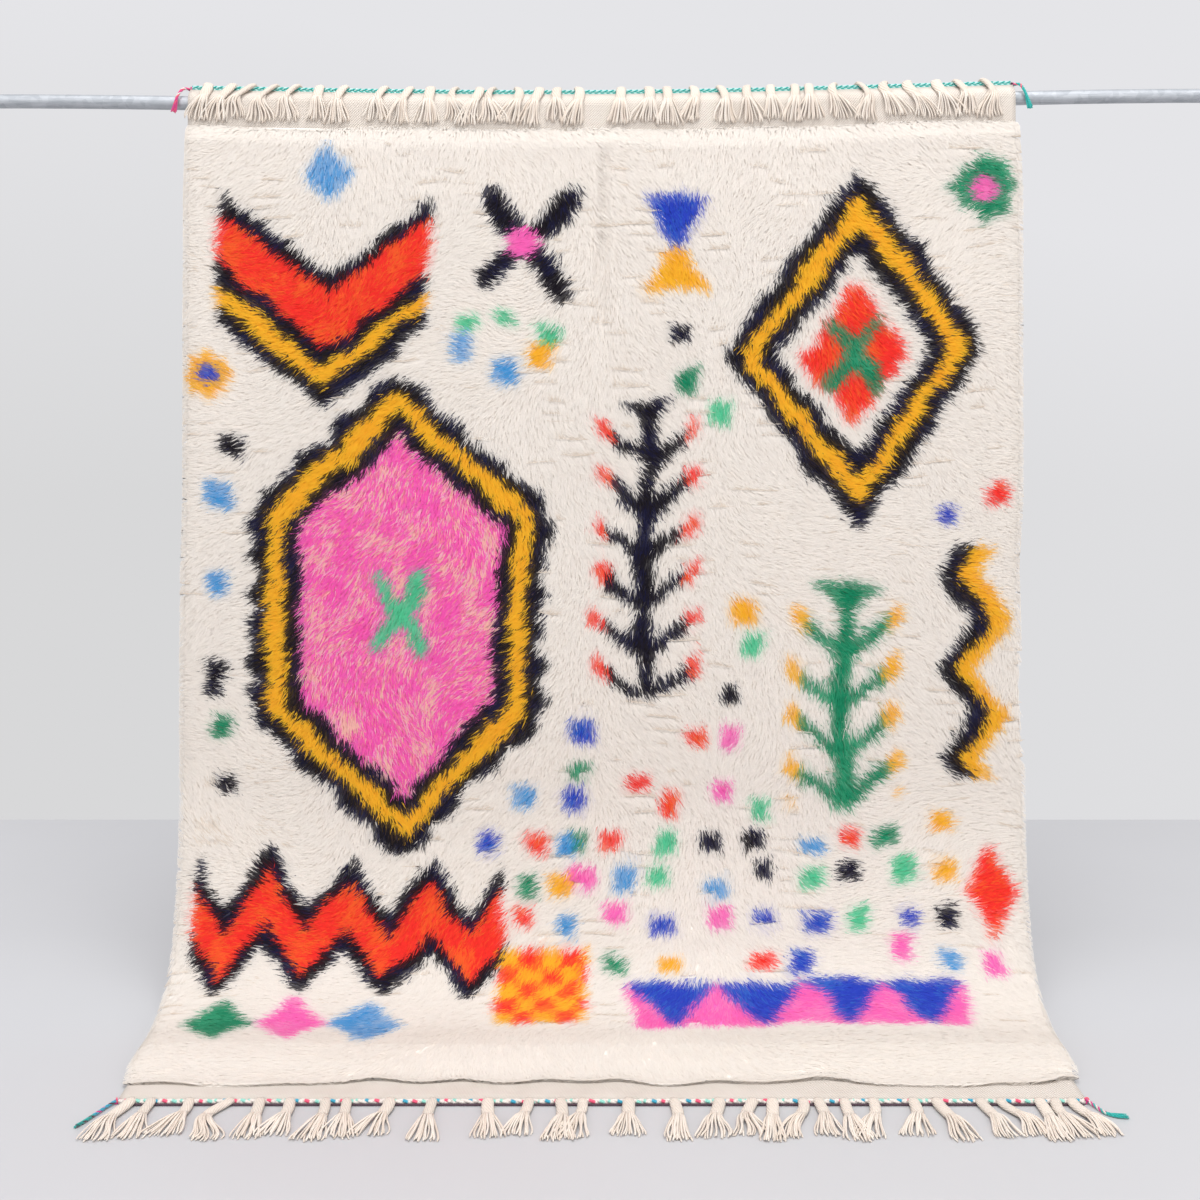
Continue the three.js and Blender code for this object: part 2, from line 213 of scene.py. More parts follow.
# The yarns of each yarn end's three strands, from shares of its length on.
TAIL_YARNS = {
    "tail_top_left": (
        (0.0, "magenta", "purple", "white"),
        (0.22, "magenta", "rose", "white"),
        (0.7, "magenta", "magenta", "rose"),
    ),
    "tail_top_right": (
        (0.0, "magenta", "purple", "white"),
        (0.20, "teal", "teal", "rose"),
        (0.55, "teal", "teal", "teal"),
    ),
    "tail_bottom_left": (
        (0.0, "rose", "magenta", "white"),
        (0.16, "purple", "blue", "blue"),
        (0.42, "blue", "magenta", "blue"),
        (0.62, "teal", "purple", "teal"),
    ),
    "tail_bottom_right": (
        (0.0, "rose", "magenta", "white"),
        (0.15, "teal", "magenta", "white"),
        (0.62, "teal", "teal", "teal"),
    ),
}

# The chart of the pile. A drawn line is this wide, and a motif's yarns are named from its
# outside inwards, or from its start to its end.
LINE = 0.028
BEAD, BEAD_PITCH = 0.14, 0.025  # how uneven a drawn line is, as a share of it, and how often
Motif = namedtuple("Motif", "shape x along half_width half_length yarns")
MOTIFS = (
    Motif(
        "chevrons", -0.480, 0.235, 0.185, 0.056,
        ("navy", "red", "red", "red", "navy", "marigold", "navy"),
    ),
    Motif("lozenge", -0.480, 0.140, 0.042, 0.052, ("sky",)),
    Motif("cross", -0.125, 0.265, 0.080, 0.100, ("navy", "pink")),
    Motif("hourglass", 0.125, 0.265, 0.056, 0.085, ("royal", "marigold")),
    Motif(
        "lozenge", 0.440, 0.470, 0.225, 0.330,
        ("navy", "marigold", "navy", "wool", "red", "red", "wool"),
    ),
    Motif("cross", 0.440, 0.470, 0.046, 0.066, ("green", "green")),
    Motif("star", 0.660, 0.190, 0.060, 0.062, ("green", "pink")),
    Motif("star", -0.680, 0.520, 0.042, 0.045, ("marigold", "royal")),
    Motif("medallion", -0.350, 0.930, 0.255, 0.400, ("navy", "marigold", "navy", "heather")),
    Motif("cross", -0.350, 0.930, 0.050, 0.072, ("mint", "mint")),
    Motif("branch", 0.075, 0.815, 0.090, 0.265, ("navy", "red")),
    Motif("zigzag", 0.650, 1.030, 0.034, 0.200, ("navy", "marigold")),
    Motif("branch", 0.420, 1.080, 0.095, 0.195, ("green", "marigold")),
    Motif("ridge", -0.430, 1.500, 0.270, 0.050, ("navy", "red", "red", "navy")),
    Motif("chain", -0.500, 1.705, 0.180, 0.062, ("green", "pink", "sky")),
    Motif("checks", -0.090, 1.610, 0.078, 0.085, ("marigold", "red")),
    Motif("teeth", 0.330, 1.650, 0.270, 0.055, ("royal", "pink")),
    Motif("lozenge", 0.670, 1.440, 0.045, 0.080, ("red", "red", "red")),
)

# Fields of small scattered squares.
Scatter = namedtuple("Scatter", "x along half_width half_length")
SCATTERS = (
    Scatter(0.250, 1.420, 0.450, 0.165),
    Scatter(0.180, 0.500, 0.040, 0.080),
    Scatter(-0.130, 0.480, 0.110, 0.070),
    Scatter(-0.670, 0.980, 0.060, 0.330),
    Scatter(-0.050, 1.280, 0.070, 0.150),
    Scatter(0.235, 1.020, 0.070, 0.180),
    Scatter(0.660, 0.800, 0.060, 0.060),
)
SCATTER_STEP = (0.078, 0.074)
SCATTER_JITTER = 0.020
SCATTER_SHARE = 0.93  # of the places on the grid that have a square
SCATTER_CLEAR = (0.034, 0.036)  # bare wool that a square needs round its middle
SCATTER_REACH = 0.715  # the farthest that a square lies from the rug's middle
SQUARE_HALF = (0.015, 0.021)
SQUARE_YARNS = ("royal", "mint", "pink", "marigold", "red", "green", "sky", "navy")


def srgb(red, green, blue):
    """An 8-bit screen colour as Blender's linear one."""
    share = np.array([red, green, blue]) / 255
    linear = np.where(share <= 0.04045, share / 12.92, ((share + 0.055) / 1.055) ** 2.4)
    return tuple(float(value) for value in linear)


def length_prop(name, description, default):
    return FloatProperty(
        name=name, description=description, default=default, unit="LENGTH", precision=4
    )


def count_prop(name, description, default, least):
    return IntProperty(name=name, description=description, default=default, min=least)


def colour_prop(name, description, default):
    return FloatVectorProperty(
        name=name, description=description, default=default, size=3, subtype="COLOR", min=0.0, max=1.0
    )


class RugPile(bpy.types.PropertyGroup):
    row_pitch: length_prop("Row pitch", "Distance between two rows of knots", 0.020)
    knot_pitch: length_prop("Knot pitch", "Distance between two knots of a row", 0.0082)
    strands: count_prop("Strands", "Strands of wool at each knot", 19, 4)
    strand_width: length_prop("Strand width", "Width of a strand at its widest", 0.0025)
    strand_run: length_prop("Strand run", "How far a strand lies over from its root", 0.028)
    wool: colour_prop("Wool", "Undyed wool", srgb(248, 242, 235))
    navy: colour_prop("Navy", "Blue-black yarn", srgb(20, 12, 25))
    marigold: colour_prop("Marigold", "Orange-yellow yarn", srgb(255, 199, 46))
    red: colour_prop("Red", "Orange-red yarn", srgb(254, 56, 46))
    pink: colour_prop("Pink", "Hot pink yarn", srgb(255, 114, 200))
    magenta: colour_prop("Magenta", "Deepest pink yarn of the mottled ground", srgb(254, 98, 194))
    peach: colour_prop("Peach", "Peach yarn of the mottled ground", srgb(252, 200, 190))
    coral: colour_prop("Coral", "Pale orange-pink yarn of the mottled ground", srgb(253, 148, 178))
    blush: colour_prop("Blush", "Palest pink yarn of the mottled ground", srgb(250, 190, 210))
    green: colour_prop("Green", "Deep green yarn", srgb(10, 148, 104))
    mint: colour_prop("Mint", "Pale green yarn", srgb(96, 216, 166))
    royal: colour_prop("Royal", "Strong blue yarn", srgb(46, 74, 205))
    sky: colour_prop("Sky", "Light blue yarn", srgb(78, 168, 226))


class RugGround(bpy.types.PropertyGroup):
    weave: length_prop("Weave", "Distance between two ribs of the twill", 0.0046)
    yarn: colour_prop("Yarn", "Undyed ground yarn", srgb(232, 223, 213))
    # The shade colour is the painted shade of the ground yarn in the twill's grooves.
    shade: colour_prop("Shade", "Ground yarn down between the ribs", srgb(207, 194, 181))


class RugEdges(bpy.types.PropertyGroup):
    top_turn: length_prop("Top turn", "Length of one turn of the top cord", 0.0108)
    bottom_turn: length_prop("Bottom turn", "Length of one turn of the bottom cord", 0.0270)
    strand: length_prop("Strand", "Thickness of a cord's strand", 0.0053)
    white: colour_prop("White", "Undyed strand of the cords", srgb(232, 222, 214))
    teal: colour_prop("Teal", "Teal strand of the top cord", srgb(40, 176, 168))
    aqua: colour_prop("Aqua", "Pale strand of the top cord", srgb(186, 234, 228))
    blue: colour_prop("Blue", "Teal-blue stitches of the bottom cord", srgb(64, 164, 192))
    mint: colour_prop("Mint", "Mint stitches of the bottom cord", srgb(146, 214, 198))
    rose: colour_prop("Rose", "Rose stitches of the bottom cord", srgb(236, 92, 122))
    magenta: colour_prop("Magenta", "Magenta yarn of the loose ends", srgb(214, 62, 138))
    # Purple also colours the bar under the bottom cord, where it stands for a painted shadow line.
    purple: colour_prop("Purple", "Purple-brown stitches under the bottom cord", srgb(84, 64, 74))


class RugFringe(bpy.types.PropertyGroup):
    stem_width: length_prop("Stem width", "Width of a tassel's felted stem", 0.0195)
    fan_width: length_prop("Fan width", "Width of a tassel's loose end", 0.052)
    thread: length_prop("Thread", "Thickness of one warp thread", 0.0036)
    top_threads: count_prop("Top threads", "Threads in a top tassel", 14, 3)
    bottom_threads: count_prop("Bottom threads", "Threads in a bottom tassel", 17, 3)
    yarn: colour_prop("Yarn", "Undyed warp yarn", srgb(243, 234, 223))
    shade: colour_prop("Shade", "Warp yarn down between its plies", srgb(220, 196, 174))


class RugTube(bpy.types.PropertyGroup):
    wall: length_prop("Wall", "Thickness of the tube's wall", 0.0015)
    zinc: colour_prop("Zinc", "Bright zinc coat", srgb(197, 200, 204))
    dull: colour_prop("Dull zinc", "Duller flakes of the zinc coat", srgb(170, 174, 179))


class RugStage(bpy.types.PropertyGroup):
    floor: colour_prop("Floor", "Pale floor", srgb(194, 194, 196))
    focal: FloatProperty(name="Focal length", description="Camera lens in millimetres", default=43.92)
    distance: length_prop("Distance", "From the camera to the hanging cloth", 2.6)
    eye: length_prop("Eye height", "Height of the camera above the floor", 1.07)
    horizon: FloatProperty(
        name="Horizon", description="Horizon above the picture's middle, as a share", default=1 / 6
    )


def ramp(value, low, high):
    """0 below low and 1 above high, with a smooth rise between."""
    share = np.clip((value - low) / (high - low), 0, 1)
    return share * share * (3 - 2 * share)


def mix(low, high, share):
    return low + (high - low) * share


def unit(vectors):
    return vectors / np.maximum(np.linalg.norm(vectors, axis=-1, keepdims=True), 1e-9)


def waves(x, along, size, seed, count=7):
    """Smooth unevenness from about -1 to 1, whose lumps are about that size."""
    draw = np.random.default_rng(seed)
    total = np.zeros(np.broadcast(x, along).shape)
    for _ in range(count):
        heading, phase = draw.uniform(0, 2 * pi, 2)
        pitch = pi / size * draw.uniform(0.6, 1.4)
        total += np.sin(pitch * (x * cos(heading) + along * sin(heading)) + phase)
    return total / (count / 2) ** 0.5 / 1.5


def tube_lift(x):
    """How far the tube's axis at x lies above the mean height of its ends."""
    turn = pi * x / TUBE_LENGTH
    return TUBE_RISE / 2 * np.sin(turn) - TUBE_SAG / 2 * (1 + np.cos(2 * turn))


def follow(forward, height, heading, length, rate):
    """Carries points along an arc. Heading is 0 down and a right angle forward."""
    straight = rate == 0
    safe = np.where(straight, 1, rate)
    ahead = heading + rate * length
    bent_forward = (np.cos(heading) - np.cos(ahead)) / safe
    bent_down = (np.sin(ahead) - np.sin(heading)) / safe
    forward = forward + np.where(straight, length * np.sin(heading), bent_forward)
    height = height - np.where(straight, length * np.cos(heading), bent_down)
    return forward, height, ahead


def start_of_bends():
    """Rows of along, forward, height, heading and turn rate, one where each bend starts."""
    along = 0.0
    forward = BACK_RADIUS * cos(START) - LIP_LENGTH * sin(START)
    height = TUBE_HEIGHT + BACK_RADIUS * sin(START) + LIP_LENGTH * cos(START)
    heading = START
    rows = []
    for bend in BENDS:
        rate = bend.turn / bend.length
        rows.append((along, forward, height, heading, rate))
        forward, height, heading = follow(forward, height, heading, bend.length, rate)
        along += bend.length
    return np.array(rows, float)


BEND_STARTS = start_of_bends()


def cloth_at(along):
    """Forward, height and heading of the cloth's back."""
    place = np.clip(np.searchsorted(BEND_STARTS[:, 0], along, side="right") - 1, 0, len(BENDS) - 1)
    start, forward, height, heading, rate = np.moveaxis(BEND_STARTS[place], -1, 0)
    return follow(forward, height, heading, along - start, rate)


def on_cloth(x, along, depth):
    """Points at a depth in front of the cloth's back."""
    x, along, depth = np.broadcast_arrays(x, along, depth)
    forward, height, heading = cloth_at(along)
    hang = 1 - ramp(along, 0.150, DROP_END)
    sway = SWAY_DEPTH * ramp(along, SWAY_FROM, SWAY_TO) * (1 - ramp(along, DROP_END - 0.3, DROP_END))
    forward = forward + sway * np.sin(2 * pi * x / SWAY_WAVE + 0.7) + depth * np.cos(heading)
    height = height + tube_lift(x) * hang + depth * np.sin(heading)
    return np.stack([x, AXIS_Y - forward, np.maximum(height, 0)], -1)


def front_of_pile(x, along):
    """The way the pile's surface faces."""
    heading = cloth_at(along)[2]
    step, steepest, steepest_up = 0.004, 1.2, 0.35
    slope_x = (thickness_at(x + step, along) - thickness_at(x - step, along)) / (2 * step)
    slope_along = (thickness_at(x, along + step) - thickness_at(x, along - step)) / (2 * step)
    slope_x = np.clip(slope_x, -steepest, steepest)
    slope_along = np.clip(slope_along, -steepest, steepest_up)
    down = np.stack([-slope_x, slope_along * np.sin(heading), slope_along * np.cos(heading)], -1)
    return unit(np.stack([np.zeros_like(heading), -np.cos(heading), np.sin(heading)], -1) + down)


def reach_at(x, along):
    """How far out the pile's side lies, on the side where x is."""
    table = np.array(SIDES)
    left = np.interp(along, table[:, 0], table[:, 1])
    right = np.interp(along, table[:, 0], table[:, 2])
    return np.where(x < 0, left, right)


def thickness_at(x, along):
    """The thickness of pile and ground together."""
    table, sides = np.array(THICKNESS), np.array(SIDE_ROUND)
    pile = np.interp(along, table[:, 0], table[:, 1]) - GROUND
    lumps = np.sin(x / LUMP_ACROSS) * np.sin(along / LUMP_ALONG + x / 0.3)
    crease = CREASE_DEPTH * ramp(along, CREASE_FROM, CREASE_FROM + 0.06)
    crease = crease * (1 - ramp(along, CREASE_TO - 0.12, CREASE_TO))
    crease = crease * (1 - ramp(np.abs(x), 0, CREASE_HALF_WIDTH))
    full = pile + np.clip(pile / 0.01, 0, 1) * LUMP_DEPTH * lumps - np.minimum(crease, pile)
    inset = reach_at(x, along) - np.abs(x)
    return GROUND + full * np.interp(inset, sides[:, 0], sides[:, 1])


def saw(value):
    """A zigzag from -1 to 1 and back, once for each whole number."""
    return 4 * np.abs(value - np.floor(value + 0.5)) - 1


# Each shape takes places measured from a motif's middle, and says which of its yarns
# is there, or -1 outside it.

def within(u, v, motif):
    """Whether places lie in the motif's box."""
    return (np.abs(u) < motif.half_width) & (np.abs(v) < motif.half_length)


def in_bands(band, inside, motif):
    """One band after another, from the first on."""
    return np.where(inside & (band < len(motif.yarns)), np.maximum(band, -1), -1)


def in_rings(inset, v, motif):
    """Rings a drawn line wide, by the distance in from the outline, with the last one all the rest."""
    return np.minimum(np.floor(inset / LINE + BEAD * saw(v / BEAD_PITCH)), len(motif.yarns) - 1)


def in_two(inside, second):
    """The first yarn inside, or the second where that is asked for."""
    return np.where(inside, np.where(second, 1, 0), -1)


def lozenge(u, v, motif):
    """Rings in a standing diamond."""
    steep = motif.half_width * motif.half_length / hypot(motif.half_width, motif.half_length)
    inset = (1 - np.abs(u) / motif.half_width - np.abs(v) / motif.half_length) * steep
    return np.where(inset < 0, -1, in_rings(inset, v, motif))


def chevrons(u, v, motif):
    """Bands in the shape of a V."""
    rise = 0.75 * (motif.half_width - np.abs(u))
    band = np.floor((v + motif.half_length - rise) / (1.25 * LINE))
    return in_bands(band, np.abs(u) < motif.half_width, motif)


def zigzag(u, v, motif):
    """Bands that run down the rug from side to side."""
    swing = motif.half_width * saw(v / 0.16)
    band = np.floor((u - swing) / (1.3 * LINE) + len(motif.yarns) / 2)
    return in_bands(band, np.abs(v) < motif.half_length, motif)


def ridge(u, v, motif):
    """Bands that run across the rug up and down."""
    swing = motif.half_length * saw(u / 0.14)
    band = np.floor((v - swing) / (1.5 * LINE) + len(motif.yarns) / 2)
    return in_bands(band, np.abs(u) < motif.half_width, motif)


def cross(u, v, motif):
    """Two slanting arms, with a round middle."""
    arm = np.abs(np.abs(u) / motif.half_width - np.abs(v) / motif.half_length) < 0.32
    return in_two(within(u, v, motif) & arm, np.hypot(u, v) < 1.1 * LINE)


def hourglass(u, v, motif):
    """Two triangles, point to point."""
    wide = np.abs(v) / motif.half_length * motif.half_width + 0.006
    return in_two((np.abs(u) < wide) & (np.abs(v) < motif.half_length), v >= 0)


def branch(u, v, motif):
    """A spine with arms that slant from it, tipped with the second yarn."""
    spine = np.abs(u) < 0.55 * LINE
    step = (v + 0.8 * np.abs(u)) / 0.085
    arm = (step - np.floor(step) < 0.36) & (np.abs(u) < motif.half_width)
    inside = (spine | arm) & (np.abs(v) < motif.half_length)
    return in_two(inside, np.abs(u) > motif.half_width - 0.9 * LINE)


def medallion(u, v, motif):
    """A tall six-sided ring with a toothed outline."""
    slope = 0.62 * motif.half_length / motif.half_width
    slanted = (motif.half_length - np.abs(v) + slope * (0.04 - np.abs(u))) / hypot(1, slope)
    inset = np.minimum(motif.half_width - np.abs(u), slanted)
    outside = inset + 0.010 * saw(v / 0.062) < 0
    return np.where(outside, -1, np.maximum(in_rings(inset, v, motif), 0))


def star(u, v, motif):
    """A square over a square set on its corner."""
    u, v = np.abs(u) / motif.half_width, np.abs(v) / motif.half_length
    return in_two((u + v < 1.1) | (np.maximum(u, v) < 0.74), np.hypot(u, v) < 0.42)


def chain(u, v, motif):
    """Lozenges side by side."""
    link = (u + motif.half_width) / (2 * motif.half_width) * len(motif.yarns)
    inside = np.abs(2 * (link - np.floor(link)) - 1) + np.abs(v) / motif.half_length < 1
    return np.where(inside & (np.abs(u) < motif.half_width), np.floor(link), -1)


def checks(u, v, motif):
    """Small squares of two yarns by turns."""
    across, down = u + motif.half_width, v + motif.half_length
    column, row = (np.floor(part / (1.25 * LINE)) for part in (across, down))
    return np.where(within(u, v, motif), np.mod(column + row, 2), -1)


def teeth(u, v, motif):
    """A band of triangles, up and down by turns."""
    return in_two(within(u, v, motif), saw(u / 0.135) < v / motif.half_length)


SHAPES = {
    "lozenge": lozenge, "chevrons": chevrons, "zigzag": zigzag, "ridge": ridge, "cross": cross,
    "hourglass": hourglass, "branch": branch, "medallion": medallion, "star": star, "chain": chain,
    "checks": checks, "teeth": teeth,
}
HEATHER = ("magenta", "pink", "pink", "coral", "pink", "blush", "pink", "peach")
# The yarn that each yarn's uneven dye leans to.
SECOND = {
    "navy": "royal", "marigold": "red", "red": "marigold", "pink": "wool", "green": "mint",
    "mint": "green", "royal": "sky", "sky": "wool",
}
LEANING = {"navy": 0.25, "marigold": 0.35, "red": 0.75, "pink": 0.5, "heather": 0.0}
YARNS = ("wool", "navy", "marigold", "red", "pink", "green", "mint", "royal", "sky", "heather")


def drawn(x, along, motifs):
    """Which of the yarns each place on the chart has."""
    chart = np.zeros(x.shape, int)
    for motif in motifs:
        ring = SHAPES[motif.shape](x - motif.x, along - motif.along, motif).astype(int)
        named = np.array([YARNS.index(yarn) for yarn in motif.yarns])
        chart = np.where(ring >= 0, named[np.clip(ring, 0, len(named) - 1)], chart)
    return chart


def scattered_squares():
    """Small squares on a loose grid, wherever the chart is bare wool all round."""
    draw = np.random.default_rng(41)
    squares = []
    clear_x, clear_along = SCATTER_CLEAR
    around_x, around_along = np.meshgrid((-clear_x, 0, clear_x), (-clear_along, 0, clear_along))
    for field in SCATTERS:
        low_x, high_x = field.x - field.half_width, field.x + field.half_width
        low_along, high_along = field.along - field.half_length, field.along + field.half_length
        for row in np.arange(low_along, high_along, SCATTER_STEP[1]):
            for column in np.arange(low_x, high_x, SCATTER_STEP[0]):
                x, along = np.array([column, row]) + draw.uniform(-SCATTER_JITTER, SCATTER_JITTER, 2)
                half_width, half_length = draw.uniform(*SQUARE_HALF, 2)
                yarn = SQUARE_YARNS[draw.integers(len(SQUARE_YARNS))]
                bare = not drawn(x + around_x, along + around_along, MOTIFS).any()
                if bare and draw.random() < SCATTER_SHARE and abs(x) < SCATTER_REACH:
                    squares.append(Motif("checks", x, along, half_width, half_length, (yarn, yarn)))
    return tuple(squares)


CHART = MOTIFS + scattered_squares()


def chart_at(x, along):
    """The chart, with the unevenness of hand knotting."""
    return drawn(
        x + 0.0035 * waves(x, along, 0.045, 11),
        along + 0.0045 * waves(x, along, 0.050, 12),
        CHART,
    )


# The chart drawn once on a fine grid, and how much of each yarn lies round every place on it.
CELL = 0.003
GRID_X, GRID_ALONG = np.arange(-0.780, 0.780, CELL), np.arange(0.0, LENGTH, CELL)
DRAWN = chart_at(*np.meshgrid(GRID_X, GRID_ALONG))
HAZE = (0.22, 0.20, 0.15, 0.09, 0.05)


def hazed(mask):
    """A mask of the grid, blurred to about 7 mm."""
    soft = mask.astype(np.float32)
    for axis in (0, 1):
        total = HAZE[0] * soft
        for step, weight in enumerate(HAZE[1:], 1):
            total = total + weight * (np.roll(soft, step, axis) + np.roll(soft, -step, axis))
        soft = total / (HAZE[0] + 2 * sum(HAZE[1:]))
    return soft


SHARES = np.stack([hazed(DRAWN == yarn) for yarn in range(len(YARNS))], -1)


def on_grid(x, along):
    """The row and column of the grid at each place."""
    column = np.clip(np.rint((x - GRID_X[0]) / CELL), 0, len(GRID_X) - 1).astype(int)
    row = np.clip(np.rint(along / CELL), 0, len(GRID_ALONG) - 1).astype(int)
    return row, column


def yarn_table(pile):
    """Linear colours of the yarns, with the mottled ground's mean for its own."""
    shades = np.mean([tuple(getattr(pile, name)) for name in HEATHER], 0)
    return np.array([tuple(getattr(pile, name, shades)) for name in YARNS])


def yarn_colours(pile, chart, heather):
    """Linear colours of the yarns. Heather is a share that picks a shade of the mottled ground."""
    shades = np.array([tuple(getattr(pile, name)) for name in HEATHER])
    picked = shades[(heather * len(HEATHER)).astype(int)]
    return np.where((chart == YARNS.index("heather"))[:, None], picked, yarn_table(pile)[chart])


def faces_of(*corners):
    """A table with a row for each face, from arrays of its first, second and further points."""
    return np.stack(corners, -1).reshape(-1, len(corners))


def grid_faces(index):
    """Quads between the neighbours of a grid of points."""
    return faces_of(index[:-1, :-1], index[1:, :-1], index[1:, 1:], index[:-1, 1:])


def add_mesh(name, points, material, *tables):
    """A new mesh object, with a row of points for each face in one or more tables."""
    corners = np.concatenate([table.ravel() for table in tables])
    sizes = np.concatenate([np.full(len(table), table.shape[1]) for table in tables])
    mesh = bpy.data.meshes.new(name)
    mesh.vertices.add(len(points))
    mesh.vertices.foreach_set("co", np.asarray(points, np.float32).ravel())
    mesh.loops.add(len(corners))
    mesh.loops.foreach_set("vertex_index", np.asarray(corners, np.int32))
    mesh.polygons.add(len(sizes))
    starts = np.concatenate([[0], np.cumsum(sizes)[:-1]])
    mesh.polygons.foreach_set("loop_start", starts.astype(np.int32))
    mesh.update(calc_edges=True)
    mesh.materials.append(material)
    mesh.shade_smooth()
    piece = bpy.data.objects.new(name, mesh)
    bpy.context.scene.collection.objects.link(piece)
    return piece


def add_colours(piece, name, colours):
    """A colour for each point."""
    layer = piece.data.color_attributes.new(name, "FLOAT_COLOR", "POINT")
    filled = np.concatenate([colours, np.ones((len(colours), 1))], 1)
    layer.data.foreach_set("color", filled.astype(np.float32).ravel())


def add_map(piece, name, places):
    """A UV map, with a place for each corner."""
    layer = piece.data.uv_layers.new(name=name)
    layer.uv.foreach_set("vector", np.asarray(places, np.float32).ravel())


def cells(count):
    """The lower left corners of count square cells that fill a map, and the side of a cell."""
    across = ceil(count ** 0.5)
    order = np.arange(count)
    return np.stack([order % across, order // across], 1) / across, 1 / across


def run_lengths(paths):
    """How far along its path each point lies."""
    hops = np.linalg.norm(np.diff(paths, axis=1), axis=-1)
    return np.concatenate([np.zeros((len(paths), 1)), np.cumsum(hops, 1)], 1)


def run_frames(paths, side):
    """A side and a front vector square to each path, carried along it without twist."""
    tangents = unit(np.gradient(paths, axis=1))
    sides = np.empty_like(paths)
    last = np.broadcast_to(np.asarray(side, float), paths[:, 0].shape)
    for step in range(paths.shape[1]):
        tangent = tangents[:, step]
        last = unit(last - (last * tangent).sum(-1, keepdims=True) * tangent)
        sides[:, step] = last
    return sides, np.cross(tangents, sides)


def add_tubes(name, paths, radii, sides, colours, material, side=(1, 0, 0), depths=None):
    """Closed tubes, one along each path. Depths are the radii square to the side, where they differ."""
    count, steps, _ = paths.shape
    widths = np.broadcast_to(radii, (count, steps))
    depths = widths if depths is None else depths
    colours = np.broadcast_to(colours, paths.shape)
    across, front = run_frames(paths, side)
    angle = 2 * pi * np.arange(sides) / sides
    ring = (
        across[:, :, None] * (widths[:, :, None] * np.cos(angle))[..., None]
        + front[:, :, None] * (depths[:, :, None] * np.sin(angle))[..., None]
    )
    rings = (paths[:, :, None] + ring).reshape(-1, 3)
    ends = paths[:, [0, -1]].reshape(-1, 3)

    tube, step, turn = np.indices((count, steps - 1, sides))
    low = (tube * steps + step) * sides
    high = low + sides
    after = (turn + 1) % sides
    quads = faces_of(low + turn, low + after, high + after, high + turn)
    tube, turn = np.indices((count, sides))
    after = (turn + 1) % sides
    first, last = tube * steps * sides, (tube * steps + steps - 1) * sides
    middles = count * steps * sides + 2 * tube
    starts = faces_of(middles, first + after, first + turn)
    closes = faces_of(middles + 1, last + turn, last + after)
    piece = add_mesh(name, np.concatenate([rings, ends]), material, quads, starts, closes)

    shades = np.repeat(colours.reshape(-1, 3), sides, 0)
    add_colours(piece, "yarn", np.concatenate([shades, colours[:, [0, -1]].reshape(-1, 3)]))
    map_tubes(piece, paths, sides)
    return piece


def map_tubes(piece, paths, sides):
    """Maps that run round and along each tube: one in real lengths, one in cells of its own."""
    count, steps, _ = paths.shape
    length = run_lengths(paths)
    corner, cell = cells(count)
    tube, step, turn = np.indices((count, steps - 1, sides))
    round_it = np.stack([turn, turn + 1, turn + 1, turn], -1) / sides
    row = np.stack([step, step, step + 1, step + 1], -1)
    along = length[tube[..., None], row]
    lengths = [np.stack([round_it, along], -1).reshape(-1, 2)]
    inner = np.stack([0.06 + 0.88 * round_it, 0.10 + 0.80 * row / (steps - 1)], -1)
    places = [(corner[tube][..., None, :] + inner * cell).reshape(-1, 2)]
    tube, turn = np.indices((count, sides))
    for end, level, rim in ((0, 0.02, 0.08), (-1, 0.98, 0.92)):
        first, after = (turn + 1, turn) if end == 0 else (turn, turn + 1)
        round_it = np.stack([turn + 0.5, first, after], -1) / sides
        along = np.repeat(length[:, end][:, None, None], 3, 2) + np.zeros(round_it.shape)
        lengths.append(np.stack([round_it, along], -1).reshape(-1, 2))
        height = np.broadcast_to(np.array([level, rim, rim]), round_it.shape)
        inner = np.stack([0.06 + 0.88 * round_it, height], -1)
        places.append((corner[tube][..., None, :] + inner * cell).reshape(-1, 2))
    add_map(piece, "yarn_run", np.concatenate(lengths))
    add_map(piece, "OFBake", np.concatenate(places))


def smooth_path(points, steps):
    """A smooth line through points, as steps places. Points has one path or many."""
    points = np.asarray(points, float)
    ahead = 2 * points[..., :1, :] - points[..., 1:2, :]
    beyond = 2 * points[..., -1:, :] - points[..., -2:-1, :]
    padded = np.concatenate([ahead, points, beyond], -2)
    share = np.linspace(0, points.shape[-2] - 1, steps)
    place = np.minimum(share.astype(int), points.shape[-2] - 2)
    t = (share - place)[:, None]
    a, b, c, d = (padded[..., place + shift, :] for shift in range(4))
    square, cube = 2 * a - 5 * b + 4 * c - d, 3 * b - a - 3 * c + d
    return 0.5 * (2 * b + (c - a) * t + square * t**2 + cube * t**3)


def new_material(name, **sockets):
    """A material and its shader, whose plain values are set by name."""
    material = bpy.data.materials.new(name)
    material.use_nodes = True
    shader = material.node_tree.nodes["Principled BSDF"]
    for socket, value in sockets.items():
        shader.inputs[socket.replace("_", " ")].default_value = value
    return material, shader


def fibre_material(name, roughness, gloss, sheen, sheen_roughness):
    """Matt yarn or wool with a soft sheen."""
    return new_material(
        name,
        Roughness=roughness,
        Specular_IOR_Level=gloss,
        Sheen_Weight=sheen,
        Sheen_Roughness=sheen_roughness,
    )


def plug(material, value, socket):
    """Links a node's output to a socket, or sets the socket to a plain value."""
    if isinstance(value, bpy.types.NodeSocket):
        material.node_tree.links.new(value, socket)
    else:
        socket.default_value = value


def add_node(material, kind, inputs, **settings):
    """A node whose inputs are plain values or other nodes' outputs."""
    node = material.node_tree.nodes.new(kind)
    for name, value in settings.items():
        setattr(node, name, value)
    for socket, value in inputs.items():
        plug(material, value, node.inputs[socket])
    return node


def object_places(material):
    return add_node(material, "ShaderNodeTexCoord", {}).outputs["Object"]


def map_places(material, name):
    return add_node(material, "ShaderNodeUVMap", {}, uv_map=name).outputs["UV"]


